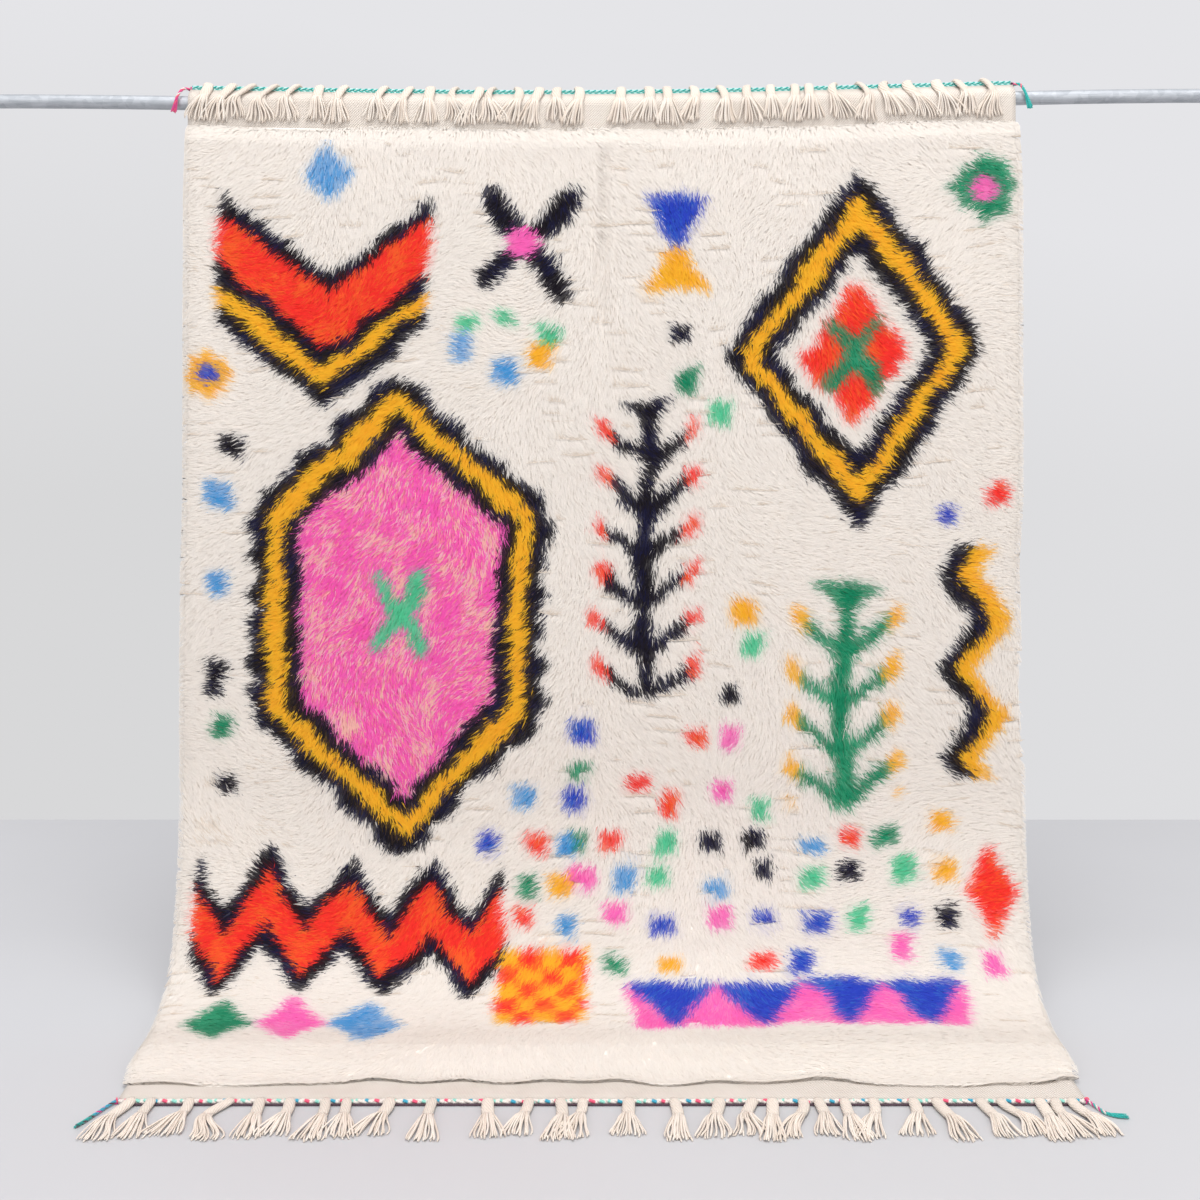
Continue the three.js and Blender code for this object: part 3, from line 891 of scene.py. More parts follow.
def noise(material, places, scale, detail=2.0):
    inputs = {"Vector": places, "Scale": scale, "Detail": detail}
    return add_node(material, "ShaderNodeTexNoise", inputs).outputs["Fac"]


def spread(material, value, low, high, onto=(0.0, 1.0)):
    """A value carried from one range on to another, and kept within it."""
    inputs = {"Value": value, "From Min": low, "From Max": high, "To Min": onto[0], "To Max": onto[1]}
    return add_node(material, "ShaderNodeMapRange", inputs).outputs["Result"]


def times(material, colour, factor):
    """A colour made darker or lighter by a factor."""
    inputs = {0: colour, "Scale": factor}
    return add_node(material, "ShaderNodeVectorMath", inputs, operation="SCALE").outputs["Vector"]


def blended(material, share, first, second):
    """A colour between two, which may be outputs or plain values."""
    node = add_node(material, "ShaderNodeMix", {}, data_type="RGBA")
    plug(material, share, node.inputs[0])
    for socket, colour in ((6, first), (7, second)):
        plain = not isinstance(colour, bpy.types.NodeSocket)
        plug(material, (*colour, 1.0) if plain else colour, node.inputs[socket])
    return node.outputs[2]


def arithmetic(material, operation, first, second):
    """The result of a sum on two outputs or plain values."""
    node = add_node(material, "ShaderNodeMath", {0: first, 1: second}, operation=operation)
    return node.outputs["Value"]


def sine(material, angle):
    return arithmetic(material, "SINE", angle, 0.0)


def from_nearest(material, value, pitch):
    """How far a value lies from the nearest whole number of pitches, in pitches."""
    return arithmetic(material, "PINGPONG", arithmetic(material, "MULTIPLY", value, 1 / pitch), 0.5)


def raise_surface(material, shader, height, distance, strength=1.0):
    """Bumps of a height from 0 to 1, where 1 stands for the distance."""
    inputs = {"Height": height, "Distance": distance, "Strength": strength}
    bump = add_node(material, "ShaderNodeBump", inputs)
    plug(material, bump.outputs["Normal"], shader.inputs["Normal"])


def paint(material, shader, colour):
    plug(material, colour, shader.inputs["Base Color"])


def yarn_attribute(material):
    return add_node(material, "ShaderNodeVertexColor", {}, layer_name="yarn").outputs["Color"]


def wound(material, plies, turns):
    """A wave across each of the plies that wind round a thread, with that many turns a metre."""
    run = add_node(material, "ShaderNodeSeparateXYZ", {"Vector": map_places(material, "yarn_run")})
    along = arithmetic(material, "MULTIPLY", run.outputs["Y"], turns)
    winding = arithmetic(material, "ADD", run.outputs["X"], along)
    return sine(material, arithmetic(material, "MULTIPLY", winding, 2 * pi * plies))


def pile_material():
    """Soft wool, whose strands take their colour from the chart."""
    material, shader = fibre_material("pile_wool", 0.90, 0.12, 0.20, 0.60)
    fibre = noise(material, object_places(material), 520.0)
    tone = spread(material, fibre, 0.3, 0.7, (0.97, 1.02))
    colour = times(material, yarn_attribute(material), tone)
    paint(material, shader, colour)
    through = add_node(material, "ShaderNodeBsdfTranslucent", {"Color": colour})
    shares = {0: 0.40, 1: shader.outputs[0], 2: through.outputs[0]}
    both = add_node(material, "ShaderNodeMixShader", shares)
    plug(material, both.outputs[0], material.node_tree.nodes["Material Output"].inputs["Surface"])
    return material


def felt_material():
    """The dense lower pile, with a little painted brownish shade of the pile's depth mixed into its yarn
    colour.
    """
    material, shader = fibre_material("pile_felt", 0.95, 0.08, 0.20, 0.50)
    places = object_places(material)
    fibre = noise(material, places, 260.0, 3.0)
    tone = spread(material, fibre, 0.3, 0.7, (0.93, 1.0))
    # Painted shade: 5 % of a brown, for the shade deep down in the pile.
    depth_shaded = blended(material, 0.05, yarn_attribute(material), (0.62, 0.50, 0.38))
    paint(material, shader, times(material, depth_shaded, tone))
    raise_surface(material, shader, fibre, 0.0012)
    return material


def plied_material(name, roughness, gloss, sheen, winding, grain, shades, bump):
    """Yarn whose plies wind round each thread. Shades are the ranges for the painted shade in the
    grooves between the plies and for the fuzz's random tone.
    """
    material, shader = fibre_material(name, roughness, gloss, sheen, 0.55)
    ply = wound(material, *winding)
    fuzz = noise(material, object_places(material), *grain)
    # The plies' wave paints the colour darker in the grooves between them: painted shade, beside the
    # bump.
    ply_groove_shade = spread(material, ply, -1.0, 1.0, shades[0])
    tone = arithmetic(material, "MULTIPLY", ply_groove_shade, spread(material, fuzz, 0.3, 0.7, shades[1]))
    paint(material, shader, times(material, yarn_attribute(material), tone))
    raise_surface(material, shader, arithmetic(material, "ADD", ply, fuzz), bump)
    return material


def stem_material():
    """Felted warp ends, twisted so slowly that they look nearly smooth."""
    return plied_material(
        "fringe_stem", 0.92, 0.12, 0.25, winding=(11, 9.0), grain=(420.0, 3.0),
        shades=((0.93, 1.0), (0.93, 1.02)), bump=0.0005,
    )


def yarn_material(name, sheen=0.25):
    """Tightly twisted yarn of two plies."""
    return plied_material(
        name, 0.88, 0.15, sheen, winding=(2, 150.0), grain=(700.0, 2.0),
        shades=((0.95, 1.02), (0.94, 1.05)), bump=0.0002,
    )


def ground_material(ground, pile):
    """Fine twill with painted shade in the grooves between its ribs, and a row of knots showing on the
    back at each row of pile.
    """
    material, shader = fibre_material("ground_weave", 0.92, 0.12, 0.15, 0.60)
    place = add_node(material, "ShaderNodeSeparateXYZ", {"Vector": map_places(material, "cloth")})
    across, along = place.outputs["X"], place.outputs["Y"]
    slant = arithmetic(material, "ADD", across, along)
    rib = sine(material, arithmetic(material, "MULTIPLY", slant, 2 * pi / ground.weave))
    pick = sine(material, arithmetic(material, "MULTIPLY", along, 4 * pi / ground.weave))
    weave = arithmetic(material, "ADD", arithmetic(material, "MULTIPLY", pick, 0.4), rib)
    cloud = spread(material, noise(material, object_places(material), 14.0, 4.0), 0.3, 0.7, (-0.2, 0.2))
    tone = arithmetic(material, "ADD", spread(material, weave, -1.4, 1.4), cloud)
    lit = spread(material, tone, 0.0, 0.7)
    # The twill's grooves are painted towards the shade colour: painted shade, with the random cloud of
    # tone on top.
    cloth = blended(material, lit, tuple(ground.shade), tuple(ground.yarn))

    row = from_nearest(material, arithmetic(material, "SUBTRACT", along, PILE_TOP), pile.row_pitch)
    stitch = spread(material, from_nearest(material, across, pile.knot_pitch), 0.04, 0.16)
    bead = arithmetic(material, "MULTIPLY", spread(material, row, 0.20, 0.13), stitch)
    show = add_node(material, "ShaderNodeVertexColor", {}, layer_name="yarn")
    knots = arithmetic(material, "MULTIPLY", bead, show.outputs["Alpha"])
    paint(material, shader, blended(material, knots, cloth, show.outputs["Color"]))
    height = arithmetic(material, "ADD", weave, arithmetic(material, "MULTIPLY", knots, 5.0))
    raise_surface(material, shader, height, 0.0005)
    return material


def zinc_material(tube):
    """Galvanised steel, with soft flakes and faint streaks along the tube."""
    material, shader = new_material("galvanised_steel", Metallic=1.0)
    places = object_places(material)
    flakes = add_node(material, "ShaderNodeTexVoronoi", {"Vector": places, "Scale": 95.0})
    shades = add_node(material, "ShaderNodeSeparateXYZ", {"Vector": flakes.outputs["Color"]})
    flake = arithmetic(material, "MULTIPLY", shades.outputs["X"], 0.45)
    stretched = add_node(material, "ShaderNodeMapping", {"Vector": places, "Scale": (3.0, 60.0, 60.0)})
    streak = noise(material, stretched.outputs["Vector"], 5.0, 4.0)
    share = arithmetic(material, "ADD", flake, spread(material, streak, 0.3, 0.7, (0.0, 0.6)))
    paint(material, shader, blended(material, share, tuple(tube.dull), tuple(tube.zinc)))
    plug(material, spread(material, share, 0.0, 1.0, (0.68, 0.58)), shader.inputs["Roughness"])
    raise_surface(material, shader, streak, 0.0002, 0.4)
    return material


def floor_material(stage):
    """Pale floor with faint clouds."""
    material, shader = new_material("floor", Roughness=0.55, Specular_IOR_Level=0.3)
    cloud = noise(material, object_places(material), 1.5, 3.0)
    tone = spread(material, cloud, 0.3, 0.7, (0.985, 1.01))
    paint(material, shader, times(material, tuple(stage.floor), tone))
    return material


def tail_path(name):
    """Points down the middle of one loose yarn end, from where it leaves the cord."""
    sign = -1 if name.endswith("left") else 1
    end = sign * (CORD_HALF + GAP)
    if name.startswith("tail_top"):
        cord = beyond_top(np.array([end]), CORD_OUT)[0]
        level = TUBE_HEIGHT + float(tube_lift(end))
    else:
        cord = beyond_bottom(np.array([end]), CORD_OUT, CORD_RADIUS)[0]
        level = 0.0
    points = [
        (end + sign * out / 1000, cord[1] - forward / 1000, level + up / 1000)
        for out, forward, up in TAILS[name]
    ]
    return smooth_path(points, 37)


def beyond_top(x, distance):
    """Places a distance beyond the middle of the cloth's top edge."""
    edge = on_cloth(x, np.zeros_like(x), GROUND / 2)
    return edge + distance * np.array([0, sin(START), cos(START)])


def beyond_bottom(x, distance, height):
    """Places on the floor a distance beyond the cloth's bottom edge."""
    edge = on_cloth(x, np.full_like(x, LENGTH), 0.0)
    return np.stack([x, edge[:, 1] - distance, np.zeros_like(x) + height], -1)


def twisted(path, radius, turn, strands, side):
    """Paths of strands that wind round one path."""
    path = path[None]
    across, front = run_frames(path, side)
    phase = 2 * pi * np.arange(strands)[:, None] / strands
    angle = 2 * pi * run_lengths(path) / turn + phase
    return path + radius * (across * np.cos(angle)[..., None] + front * np.sin(angle)[..., None])


Lamp = namedtuple("Lamp", "name place size power")


class RUG_OT_stage(bpy.types.Operator):
    """Pale floor, soft lights and the camera in front of the rug"""

    bl_idname = "rug.stage"
    bl_label = "Stage"

    FLOOR_HALF, FLOOR_BACK, FLOOR_BELOW = 8.0, 1.36, 0.0004
    LAMPS = (
        Lamp("key", (-2.2, -4.6, 2.5), 3.5, 46.0),
        Lamp("fill", (2.6, -4.6, 2.0), 3.5, 46.0),
        Lamp("top", (0.1, -2.2, 6.0), 3.4, 236.0),
    )
    LAMPS_AIM = (0.0, 0.0, 0.70)
    CAMERA_X, CLOTH_FRONT = -0.003, 0.028  # the pile's front lies that far forward of the tube's axis

    def execute(self, context):
        stage = context.scene.rug_stage
        self.add_floor(stage)
        self.add_camera(context, stage)
        for lamp in self.LAMPS:
            self.add_lamp(context, lamp)
        context.scene.world = self.add_walls()
        context.scene.view_settings.view_transform = "Standard"
        return {"FINISHED"}

    def add_floor(self, stage):
        half, back = self.FLOOR_HALF, self.FLOOR_BACK
        outline = ((-half, -half), (half, -half), (half, back), (-half, back))
        corners = [(x, y, -self.FLOOR_BELOW) for x, y in outline]
        floor = add_mesh("floor", corners, floor_material(stage), np.array([[0, 1, 2, 3]]))

    def add_lamp(self, context, lamp):
        """A square lamp that faces the rug."""
        light = bpy.data.lights.new(lamp.name, "AREA")
        light.size = lamp.size
        light.energy = lamp.power
        stand = bpy.data.objects.new(lamp.name, light)
        stand.location = lamp.place
        way = Vector(self.LAMPS_AIM) - Vector(lamp.place)
        stand.rotation_euler = way.to_track_quat("-Z", "Y").to_euler()
        context.scene.collection.objects.link(stand)

    def add_walls(self):
        """Pale light from all round, a little stronger higher up."""
        world = bpy.data.worlds.new("studio")
        world.use_nodes = True
        heading = add_node(world, "ShaderNodeTexCoord", {}).outputs["Generated"]
        place = add_node(world, "ShaderNodeSeparateXYZ", {"Vector": heading}).outputs
        right = spread(world, place["X"], -0.20, 0.35, (0.0, 0.5))
        share = arithmetic(world, "ADD", spread(world, place["Z"], -0.06, 0.25), right)
        colour = blended(world, share, srgb(216, 216, 217), srgb(229, 229, 232))
        plug(world, colour, world.node_tree.nodes["Background"].inputs["Color"])
        return world

    def add_camera(self, context, stage):
        data = bpy.data.cameras.new("camera")
        data.lens = stage.focal
        data.shift_y = -stage.horizon
        camera = bpy.data.objects.new("camera", data)
        camera.location = (self.CAMERA_X, AXIS_Y - self.CLOTH_FRONT - stage.distance, stage.eye)
        camera.rotation_euler = (radians(90), 0, 0)
        context.scene.collection.objects.link(camera)
        context.scene.camera = camera


class RUG_OT_tails(bpy.types.Operator):
    """Loose twisted yarn ends at the four corners, with a knot at each start"""

    bl_idname = "rug.tails"
    bl_label = "Loose yarn ends"

    STRAND_SHARE = 0.47  # a strand's thickness, as a share of the whole
    TURN = 0.016  # length of one turn of the twist
    SIDE = (0.2, 0.4, 0.9)
    TUFT_YARNS, TUFT_SPREAD, TUFT_LIFT, TUFT_RADIUS = 7, 0.0046, 0.0012, 0.0009
    KNOT_RADIUS, KNOT_SWING, KNOT_DEPTH, KNOT_YARN = 0.0030, 0.0012, 0.0026, 0.0013

    def execute(self, context):
        edges = context.scene.rug_edges
        material = yarn_material("tail_yarn", 0.35)
        draw = np.random.default_rng(23)
        for name, parts in TAIL_YARNS.items():
            path = tail_path(name)
            thick = self.STRAND_SHARE * TAIL_RADIUS
            paths = twisted(path, TAIL_RADIUS - thick, self.TURN, 3, self.SIDE)
            level = np.linspace(0, 1, len(path))
            taper = thick * (1 - 0.35 * ramp(level, 0.8, 1))
            colours = self.dyed(parts, level, edges)
            tail = add_tubes(name + "_yarn", paths, taper, 6, colours, material, self.SIDE)
            knot = self.add_knot(name, path, colours[:, 0], material)
            tuft = self.add_tuft(name, path, colours[:, -1], material, draw)
            for made in (tail, knot, tuft):
                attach(made, "root")
            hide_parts(name)
        return {"FINISHED"}

    def dyed(self, parts, level, edges):
        """The colours of the three strands along a tail, whose parts start at shares of its length."""
        colours = np.empty((3, len(level), 3))
        for start, *yarns in parts:
            for strand, yarn in zip(colours, yarns):
                strand[level >= start] = tuple(getattr(edges, yarn))
        return colours

    def add_tuft(self, name, path, yarns, material, draw):
        """Loose yarn that spreads out at the tail's end."""
        count, steps = self.TUFT_YARNS, 8
        start, end = path[-13], path[-1]
        along = unit(end - start)
        side = unit(np.cross(along, (0.0, 1.0, 0.4)))
        front = np.cross(along, side)
        level = np.linspace(0, 1, steps)[:, None]
        reach = float(np.linalg.norm(end - start)) * draw.uniform(0.92, 1.08, (count, 1, 1))
        away = np.linspace(-1, 1, count)[:, None, None] * self.TUFT_SPREAD * (0.3 + 0.7 * level)
        lift = draw.uniform(-self.TUFT_LIFT, self.TUFT_LIFT, (count, 1, 1)) * level
        paths = start + along * reach * level + side * away + front * lift
        paths[..., 2] = np.maximum(paths[..., 2], 0.0010)
        colours = yarns[np.arange(count) % 3][:, None]
        return add_tubes(name + "_tuft", paths, self.TUFT_RADIUS, 5, colours, material, side)

    def add_knot(self, name, path, yarns, material):
        """Yarn wound over and under itself, round the tail a little way along it."""
        angle = np.linspace(0, 2 * pi, 61)
        wide = self.KNOT_RADIUS + self.KNOT_SWING * np.cos(3 * angle)
        middle = path[4]
        tangent = unit(path[5] - path[3])
        side = unit(np.cross(tangent, (0.0, 0.3, 1.0)))
        front = np.cross(tangent, side)
        loop = (
            middle
            + side * (wide * np.cos(2 * angle))[:, None]
            + front * (wide * np.sin(2 * angle))[:, None]
            + tangent * (self.KNOT_DEPTH * np.sin(3 * angle))[:, None]
        )
        loop[:, 2] = np.maximum(loop[:, 2], self.KNOT_YARN)
        colours = np.where((angle < pi)[:, None], yarns[0], yarns[1])
        side = (0.1, 0.9, 0.3)
        return add_tubes(name + "_knot", loop[None], self.KNOT_YARN, 5, colours, material, side)


def comb(x, along):
    """The way that strands are brushed at each knot, from 0 for right to a right angle for down."""
    outward = radians(68) * np.sign(x) * ramp(np.abs(x), 0.0, 0.62)
    patches = radians(44) * waves(x, along, 0.30, 21) + radians(17) * waves(x, along, 0.065, 22)
    sideways = radians(80) * np.clip(5 * x + waves(x, along, 0.5, 25), -1, 1) + 0.5 * patches
    turned = mix(outward + patches, sideways, ramp(along, LENGTH - 0.40, LENGTH - 0.22))
    return radians(90) - turned


def lip_at(x):
    """Where the pile ends above the lower band."""
    waver = 0.6 * waves(x, 0.0, 0.14, 27) + 0.4 * waves(x, 0.0, 0.05, 28)
    return LENGTH - LIP_FROM_END - LIP_WAVER * np.clip(1 + waver, 0, 2)


def felt_at(x, along):
    """The thickness of the ground and the dense lower pile."""
    below = mix(FELT_DEPTH, FOOT_FELT_DEPTH, ramp(along, DROP_END + 0.1, DROP_END + 0.4))
    full = np.maximum(thickness_at(x, along) - below, GROUND)
    rising = ramp(along, FELT_TOP, PILE_TOP + 0.016)
    lip = lip_at(x)
    falling = ramp(along, lip - FELT_THINS, lip - FELT_STOP)
    return mix(GROUND, full, rising * (1 - falling))


class RUG_OT_ground(bpy.types.Operator):
    """The woven ground with its flat end bands, as one closed sheet, and the felted lower pile"""

    bl_idname = "rug.ground"
    bl_label = "Woven ground"

    COLUMNS, WRAP_ROWS, ROWS = 149, 6, 96
    FELT_COLUMNS, FELT_ROWS = 178, 204
    LIP_ROWS, LIP_FROM = 8, 0.986  # closer rows, from that share of the felt's length on
    FELT_INSET = 0.003  # from the pile's side to the felt's
    FELT_RIM_INSET, FELT_RIM_SINK = 0.002, 0.0005  # how far the rim turns in and under
    FELT_MAP = (1.6, 1.9)  # the width and length of cloth that fill the felt's map

    def execute(self, context):
        pile = context.scene.rug_pile
        columns = np.linspace(-BAND_WIDTH / 2, BAND_WIDTH / 2, self.COLUMNS)
        wrap_start, wrap_end = BEND_STARTS[1:3, 0]
        wrap = np.linspace(wrap_start, wrap_end, self.WRAP_ROWS)
        rest = np.linspace(wrap_end, LENGTH, self.ROWS)
        rows = np.unique(np.concatenate([[0.0], wrap, rest]))
        x, along = np.meshgrid(columns, rows)
        points = np.concatenate([on_cloth(x, along, depth).reshape(-1, 3) for depth in (0.0, GROUND)])
        corners = self.sheet_faces(len(columns), len(rows))
        piece = add_mesh("rug_ground", points, ground_material(context.scene.rug_ground, pile), corners)
        flat_x, flat_along = np.tile(x.ravel(), 2), np.tile(along.ravel(), 2)
        add_map(piece, "cloth", np.stack([flat_x, flat_along], 1)[corners.ravel()])
        self.add_knot_colours(piece, pile, flat_x, flat_along, corners)
        for made in (piece, self.add_felt(pile)):
            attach(made, "root")
            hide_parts("rug")
        return {"FINISHED"}

    def add_felt(self, pile):
        """The dense lower pile, as a skin whose rim turns under on to the woven ground."""
        upper = np.linspace(0, self.LIP_FROM - 0.001, self.FELT_ROWS)
        lower = np.linspace(self.LIP_FROM + 0.001, 1, self.LIP_ROWS)
        columns = np.linspace(-1, 1, self.FELT_COLUMNS)
        share, down = np.meshgrid(columns, np.concatenate([upper, lower]))
        along = mix(FELT_TOP, lip_at(share * BAND_WIDTH / 2) - FELT_STOP, down)
        x = share * (reach_at(share, along) - self.FELT_INSET)
        depth = felt_at(x, along)
        rim = np.abs(share) == 1
        x = np.where(rim, np.sign(share) * (BAND_WIDTH / 2 - self.FELT_RIM_INSET), x)
        depth = np.where(rim, GROUND - self.FELT_RIM_SINK, depth)
        points = on_cloth(x, along, depth).reshape(-1, 3)
        corners = grid_faces(np.arange(x.size).reshape(x.shape))
        felt = add_mesh("pile_felt", points, felt_material(), corners)
        x, along = x.ravel(), along.ravel()
        angle = comb(x, along)
        back = 0.55 * pile.strand_run
        row, column = on_grid(x - back * np.cos(angle), along - back * np.sin(angle))
        add_colours(felt, "yarn", SHARES[row, column] @ yarn_table(pile))
        width, length = self.FELT_MAP
        places = np.stack([x / width + 0.5, along / length], -1).reshape(-1, 2)
        add_map(felt, "OFBake", places[corners.ravel()])
        return felt

    def sheet_faces(self, columns, rows):
        """Quads of the back, the front and the four edges between them."""
        index = np.arange(2 * rows * columns).reshape(2, rows, columns)
        back, front = index
        return np.concatenate([
            faces_of(back[1:, :-1], back[:-1, :-1], back[:-1, 1:], back[1:, 1:]),
            grid_faces(front),
            faces_of(back[:-1, 0], back[1:, 0], front[1:, 0], front[:-1, 0]),
            faces_of(front[:-1, -1], front[1:, -1], back[1:, -1], back[:-1, -1]),
            faces_of(front[0, :-1], front[0, 1:], back[0, 1:], back[0, :-1]),
            faces_of(back[-1, :-1], back[-1, 1:], front[-1, 1:], front[-1, :-1]),
        ])

    def add_knot_colours(self, piece, pile, x, along, corners):
        """The yarns that show on the back. Alpha is 0 off the pile."""
        draw = np.random.default_rng(5)
        middle_x, middle_along = x[corners].mean(1), along[corners].mean(1)
        chart = chart_at(middle_x, middle_along)
        colours = np.repeat(yarn_colours(pile, chart, draw.random(len(chart)))[:, None], 4, 1)
        on_back = (corners < len(x) // 2).all(1)
        in_pile = (middle_along > PILE_TOP - 0.010) & (middle_along < PILE_BOTTOM + 0.004)
        alpha = np.repeat((on_back & in_pile)[:, None], 4, 1)[..., None]
        filled = np.concatenate([colours, alpha], -1).astype(np.float32)
        layer = piece.data.color_attributes.new("yarn", "FLOAT_COLOR", "CORNER")
        layer.data.foreach_set("color", filled.ravel())


class RUG_OT_pile(bpy.types.Operator):
    """The wool pile, knot by knot, in four fields down the rug"""

    bl_idname = "rug.pile"
    bl_label = "Pile"

    FIELDS = ("pile_upper", "pile_middle", "pile_lower", "pile_foot")
    INSET = 0.003  # from the ground's side to the outermost knots
    ROW_WAVER = 0.0022

    # How far from its knot a strand may stand, and how far it lies over, as shares of the run.
    ROOTS_ACROSS, ROOTS_ALONG = 0.0050, 0.0105
    RUN_SHARES = (0.62, 1.18)

    # Some strands of the top rows stand up over the edge, and some of the lowest fall over theirs.
    RISING_ROWS, RISING_SHARE, RISING_RUN = 0.008, 0.55, 0.30
    FALLING_ROWS, FALLING_SHARE, FALLING_WAYS = 0.022, 0.5, (0.9, 2.2)

    # Where a strand bends, as shares of its run. Those that stand beyond a parting bend low down.
    BEND_SHARES, LOW_BEND = (0.34, 0.52), 0.12
    CURL = 0.0013

    # How wide a parting is on each side of its line, and how far beyond it strands are moved.
    PARTING_HALF, MOVED_BEYOND = 0.0004, (0.0010, 0.0030)

    # How far over the first row the tips reach, and how uneven they end there and at the lip.
    TOP_TIPS_ABOVE, TOP_TIPS_SPREAD, TOP_TIPS_WAVER, LOW_TIPS_SPREAD = 0.009, 0.0050, 0.0050, 0.0030

    # The painted shade that darkens a strand's root, deep in the pile, and its tip at a parting, where
    # the wool opens into shade.
    ROOT_SHADE, PARTED_SHADE = np.array([0.99, 0.98, 0.97]), np.array([0.80, 0.72, 0.63])

    # How far a colour goes over into those round it, where yarns meet.
    HAZE_REACH, NAVY_HAZE_REACH = 0.62, 0.28

    def execute(self, context):
        pile = context.scene.rug_pile
        material = pile_material()
        rows = np.arange(PILE_TOP, PILE_BOTTOM + OVERHANG, pile.row_pitch)
        rows = np.concatenate([[PILE_TOP, PILE_TOP + 0.007], rows, [PILE_BOTTOM + OVERHANG]])
        half = BAND_WIDTH / 2 - self.INSET
        columns = np.arange(-half, half, pile.knot_pitch)
        draw = np.random.default_rng(7)
        for name, part in zip(self.FIELDS, np.array_split(rows, len(self.FIELDS))):
            x, along = (grid.ravel() for grid in np.meshgrid(columns, part))
            along = along + self.ROW_WAVER * waves(x, along, 0.11, 3)
            piece = self.add_field(name, x, along, pile, material, draw)
            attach(piece, "root")
            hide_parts("rug")
        return {"FINISHED"}

    def add_field(self, name, x, along, pile, material, draw):
        """The strands of some knots, as one mesh. A strand rises and then lies over."""
        angle = comb(x, along) + draw.normal(0, 0.11, len(x))
        calm = 1 - 0.6 * ramp(along, DROP_END + 0.2, DROP_END + 0.5)
        lift = draw.normal(0, 0.0003, len(x)) * calm
        wander = 0.5 + 0.33 * waves(x, along, 0.045, 31) + draw.normal(0, 0.16, len(x))

        knot = np.repeat(np.arange(len(x)), pile.strands)
        count = len(knot)
        root_x, root_along, heading, run = self.brushed(x[knot], along[knot], angle[knot], pile, draw)
        lowest_tip = lip_at(root_x) - draw.uniform(0.0, self.LOW_TIPS_SPREAD, count)
        waver = np.clip(1 + waves(root_x, 0.0, 0.20, 29), 0.5, 2)
        uneven = draw.uniform(0.0, self.TOP_TIPS_SPREAD, count)
        highest_tip = PILE_TOP - self.TOP_TIPS_ABOVE + uneven + self.TOP_TIPS_WAVER * waver
        bend = draw.uniform(*self.BEND_SHARES, count)
        curl = draw.normal(0, self.CURL, count)
        root_along, moved, parted, limits = self.at_parting(root_x, root_along, heading, run, draw)
        bend = np.where(moved, self.LOW_BEND, bend)

        places = []
        for share, rise, bow in ((0.0, 0.0, 0.0), (bend, 0.82, curl), (1.0, 1.0, 0.0)):
            at_x = root_x + share * run * np.cos(heading) - bow * np.sin(heading)
            at_along = root_along + share * run * np.sin(heading) + bow * np.cos(heading)
            reach = reach_at(at_x, at_along) - 0.0006
            at_x = np.clip(at_x, -reach, reach)
            at_along = np.clip(at_along, *limits)
            at_along = np.clip(at_along, highest_tip, lowest_tip)
            under = np.clip(at_along, PILE_TOP + 0.001, LENGTH - 0.0405)
            full = thickness_at(at_x, under) + lift[knot] * share
            drop = draw.uniform(0.0, 0.0009, count) * share * calm[knot]
            root_depth = felt_at(at_x, at_along) - 0.0012
            places.append((at_x, at_along, mix(root_depth, full - drop, rise)))
        root, middle, tip = (on_cloth(*place) for place in places)
        facing = front_of_pile(places[1][0], places[1][1])
        lies = unit(tip - middle)
        across = unit(np.cross(lies, facing))
        half = pile.strand_width / 2 * draw.uniform(0.7, 1.25, count)[:, None] * across
        piece = self.add_ribbons(name, (root, middle + half, tip, middle - half), material)

        strand = self.strand_colours(pile, root_x, root_along, wander[knot], draw)
        shade = np.where(parted[:, None], self.PARTED_SHADE, 1.0)
        # A tip is painted 2 % lighter, a painted highlight on top of the pile, and darker with painted
        # shade at a parting.
        tip_highlight_and_shade = np.minimum(strand * 1.02, 0.95) * shade
        shades = np.stack([strand * self.ROOT_SHADE, strand, tip_highlight_and_shade, strand], 1)
        add_colours(piece, "yarn", shades.reshape(-1, 3))
        self.map_strands(piece, count)
        self.round_strands(piece, facing, across, lies, draw)
        return piece

    def brushed(self, x, along, heading, pile, draw):
        """Where the strands of some knots stand, which way they lie over, and how far."""
        count = len(x)
        x = x + draw.uniform(-self.ROOTS_ACROSS, self.ROOTS_ACROSS, count)
        along = along + draw.uniform(-self.ROOTS_ALONG, self.ROOTS_ALONG, count)
        heading = heading + draw.normal(0, 0.17, count)
        run = pile.strand_run * draw.uniform(*self.RUN_SHARES, count)
        rising = (along < PILE_TOP + self.RISING_ROWS) & (draw.random(count) < self.RISING_SHARE)
        heading = np.where(rising, -radians(90) + draw.normal(0, 0.25, count), heading)
        run = np.where(rising, self.RISING_RUN * run, run)
        falling = (along > lip_at(x) - self.FALLING_ROWS) & (draw.random(count) < self.FALLING_SHARE)
        heading = np.where(falling, draw.uniform(*self.FALLING_WAYS, count), heading)
        return x, along, heading, run

    def add_ribbons(self, name, outlines, material):
        """A mesh of flat strands, by their four corners: root, right, tip and left."""
        points = np.stack(outlines, 1)
        points[..., 2] = np.maximum(points[..., 2], 0.0004)
        base = 4 * np.arange(len(points))[:, None]
        triangles = np.concatenate([base + [0, 1, 3], base + [3, 1, 2]], 1).reshape(-1, 3)
        return add_mesh(name, points.reshape(-1, 3), material, triangles)

    def at_parting(self, x, along, heading, run, draw):
        """Moves half of the strands that would cross a parting beyond it, and stops the others at it."""
        down = np.sign(heading)
        line, opens = self.next_parting(x, along, down)
        parted = opens & (np.abs(line - along) < run * np.abs(np.sin(heading)))
        moved = parted & (draw.random(len(x)) < 0.5)
        along = np.where(moved, line + down * draw.uniform(*self.MOVED_BEYOND, len(x)), along)
        parted = parted & ~moved
        lowest = np.where(parted & (down < 0), line + self.PARTING_HALF, 0.0)
        highest = np.where(parted & (down > 0), line - self.PARTING_HALF, LENGTH)
        return along, moved, parted, (lowest, highest)

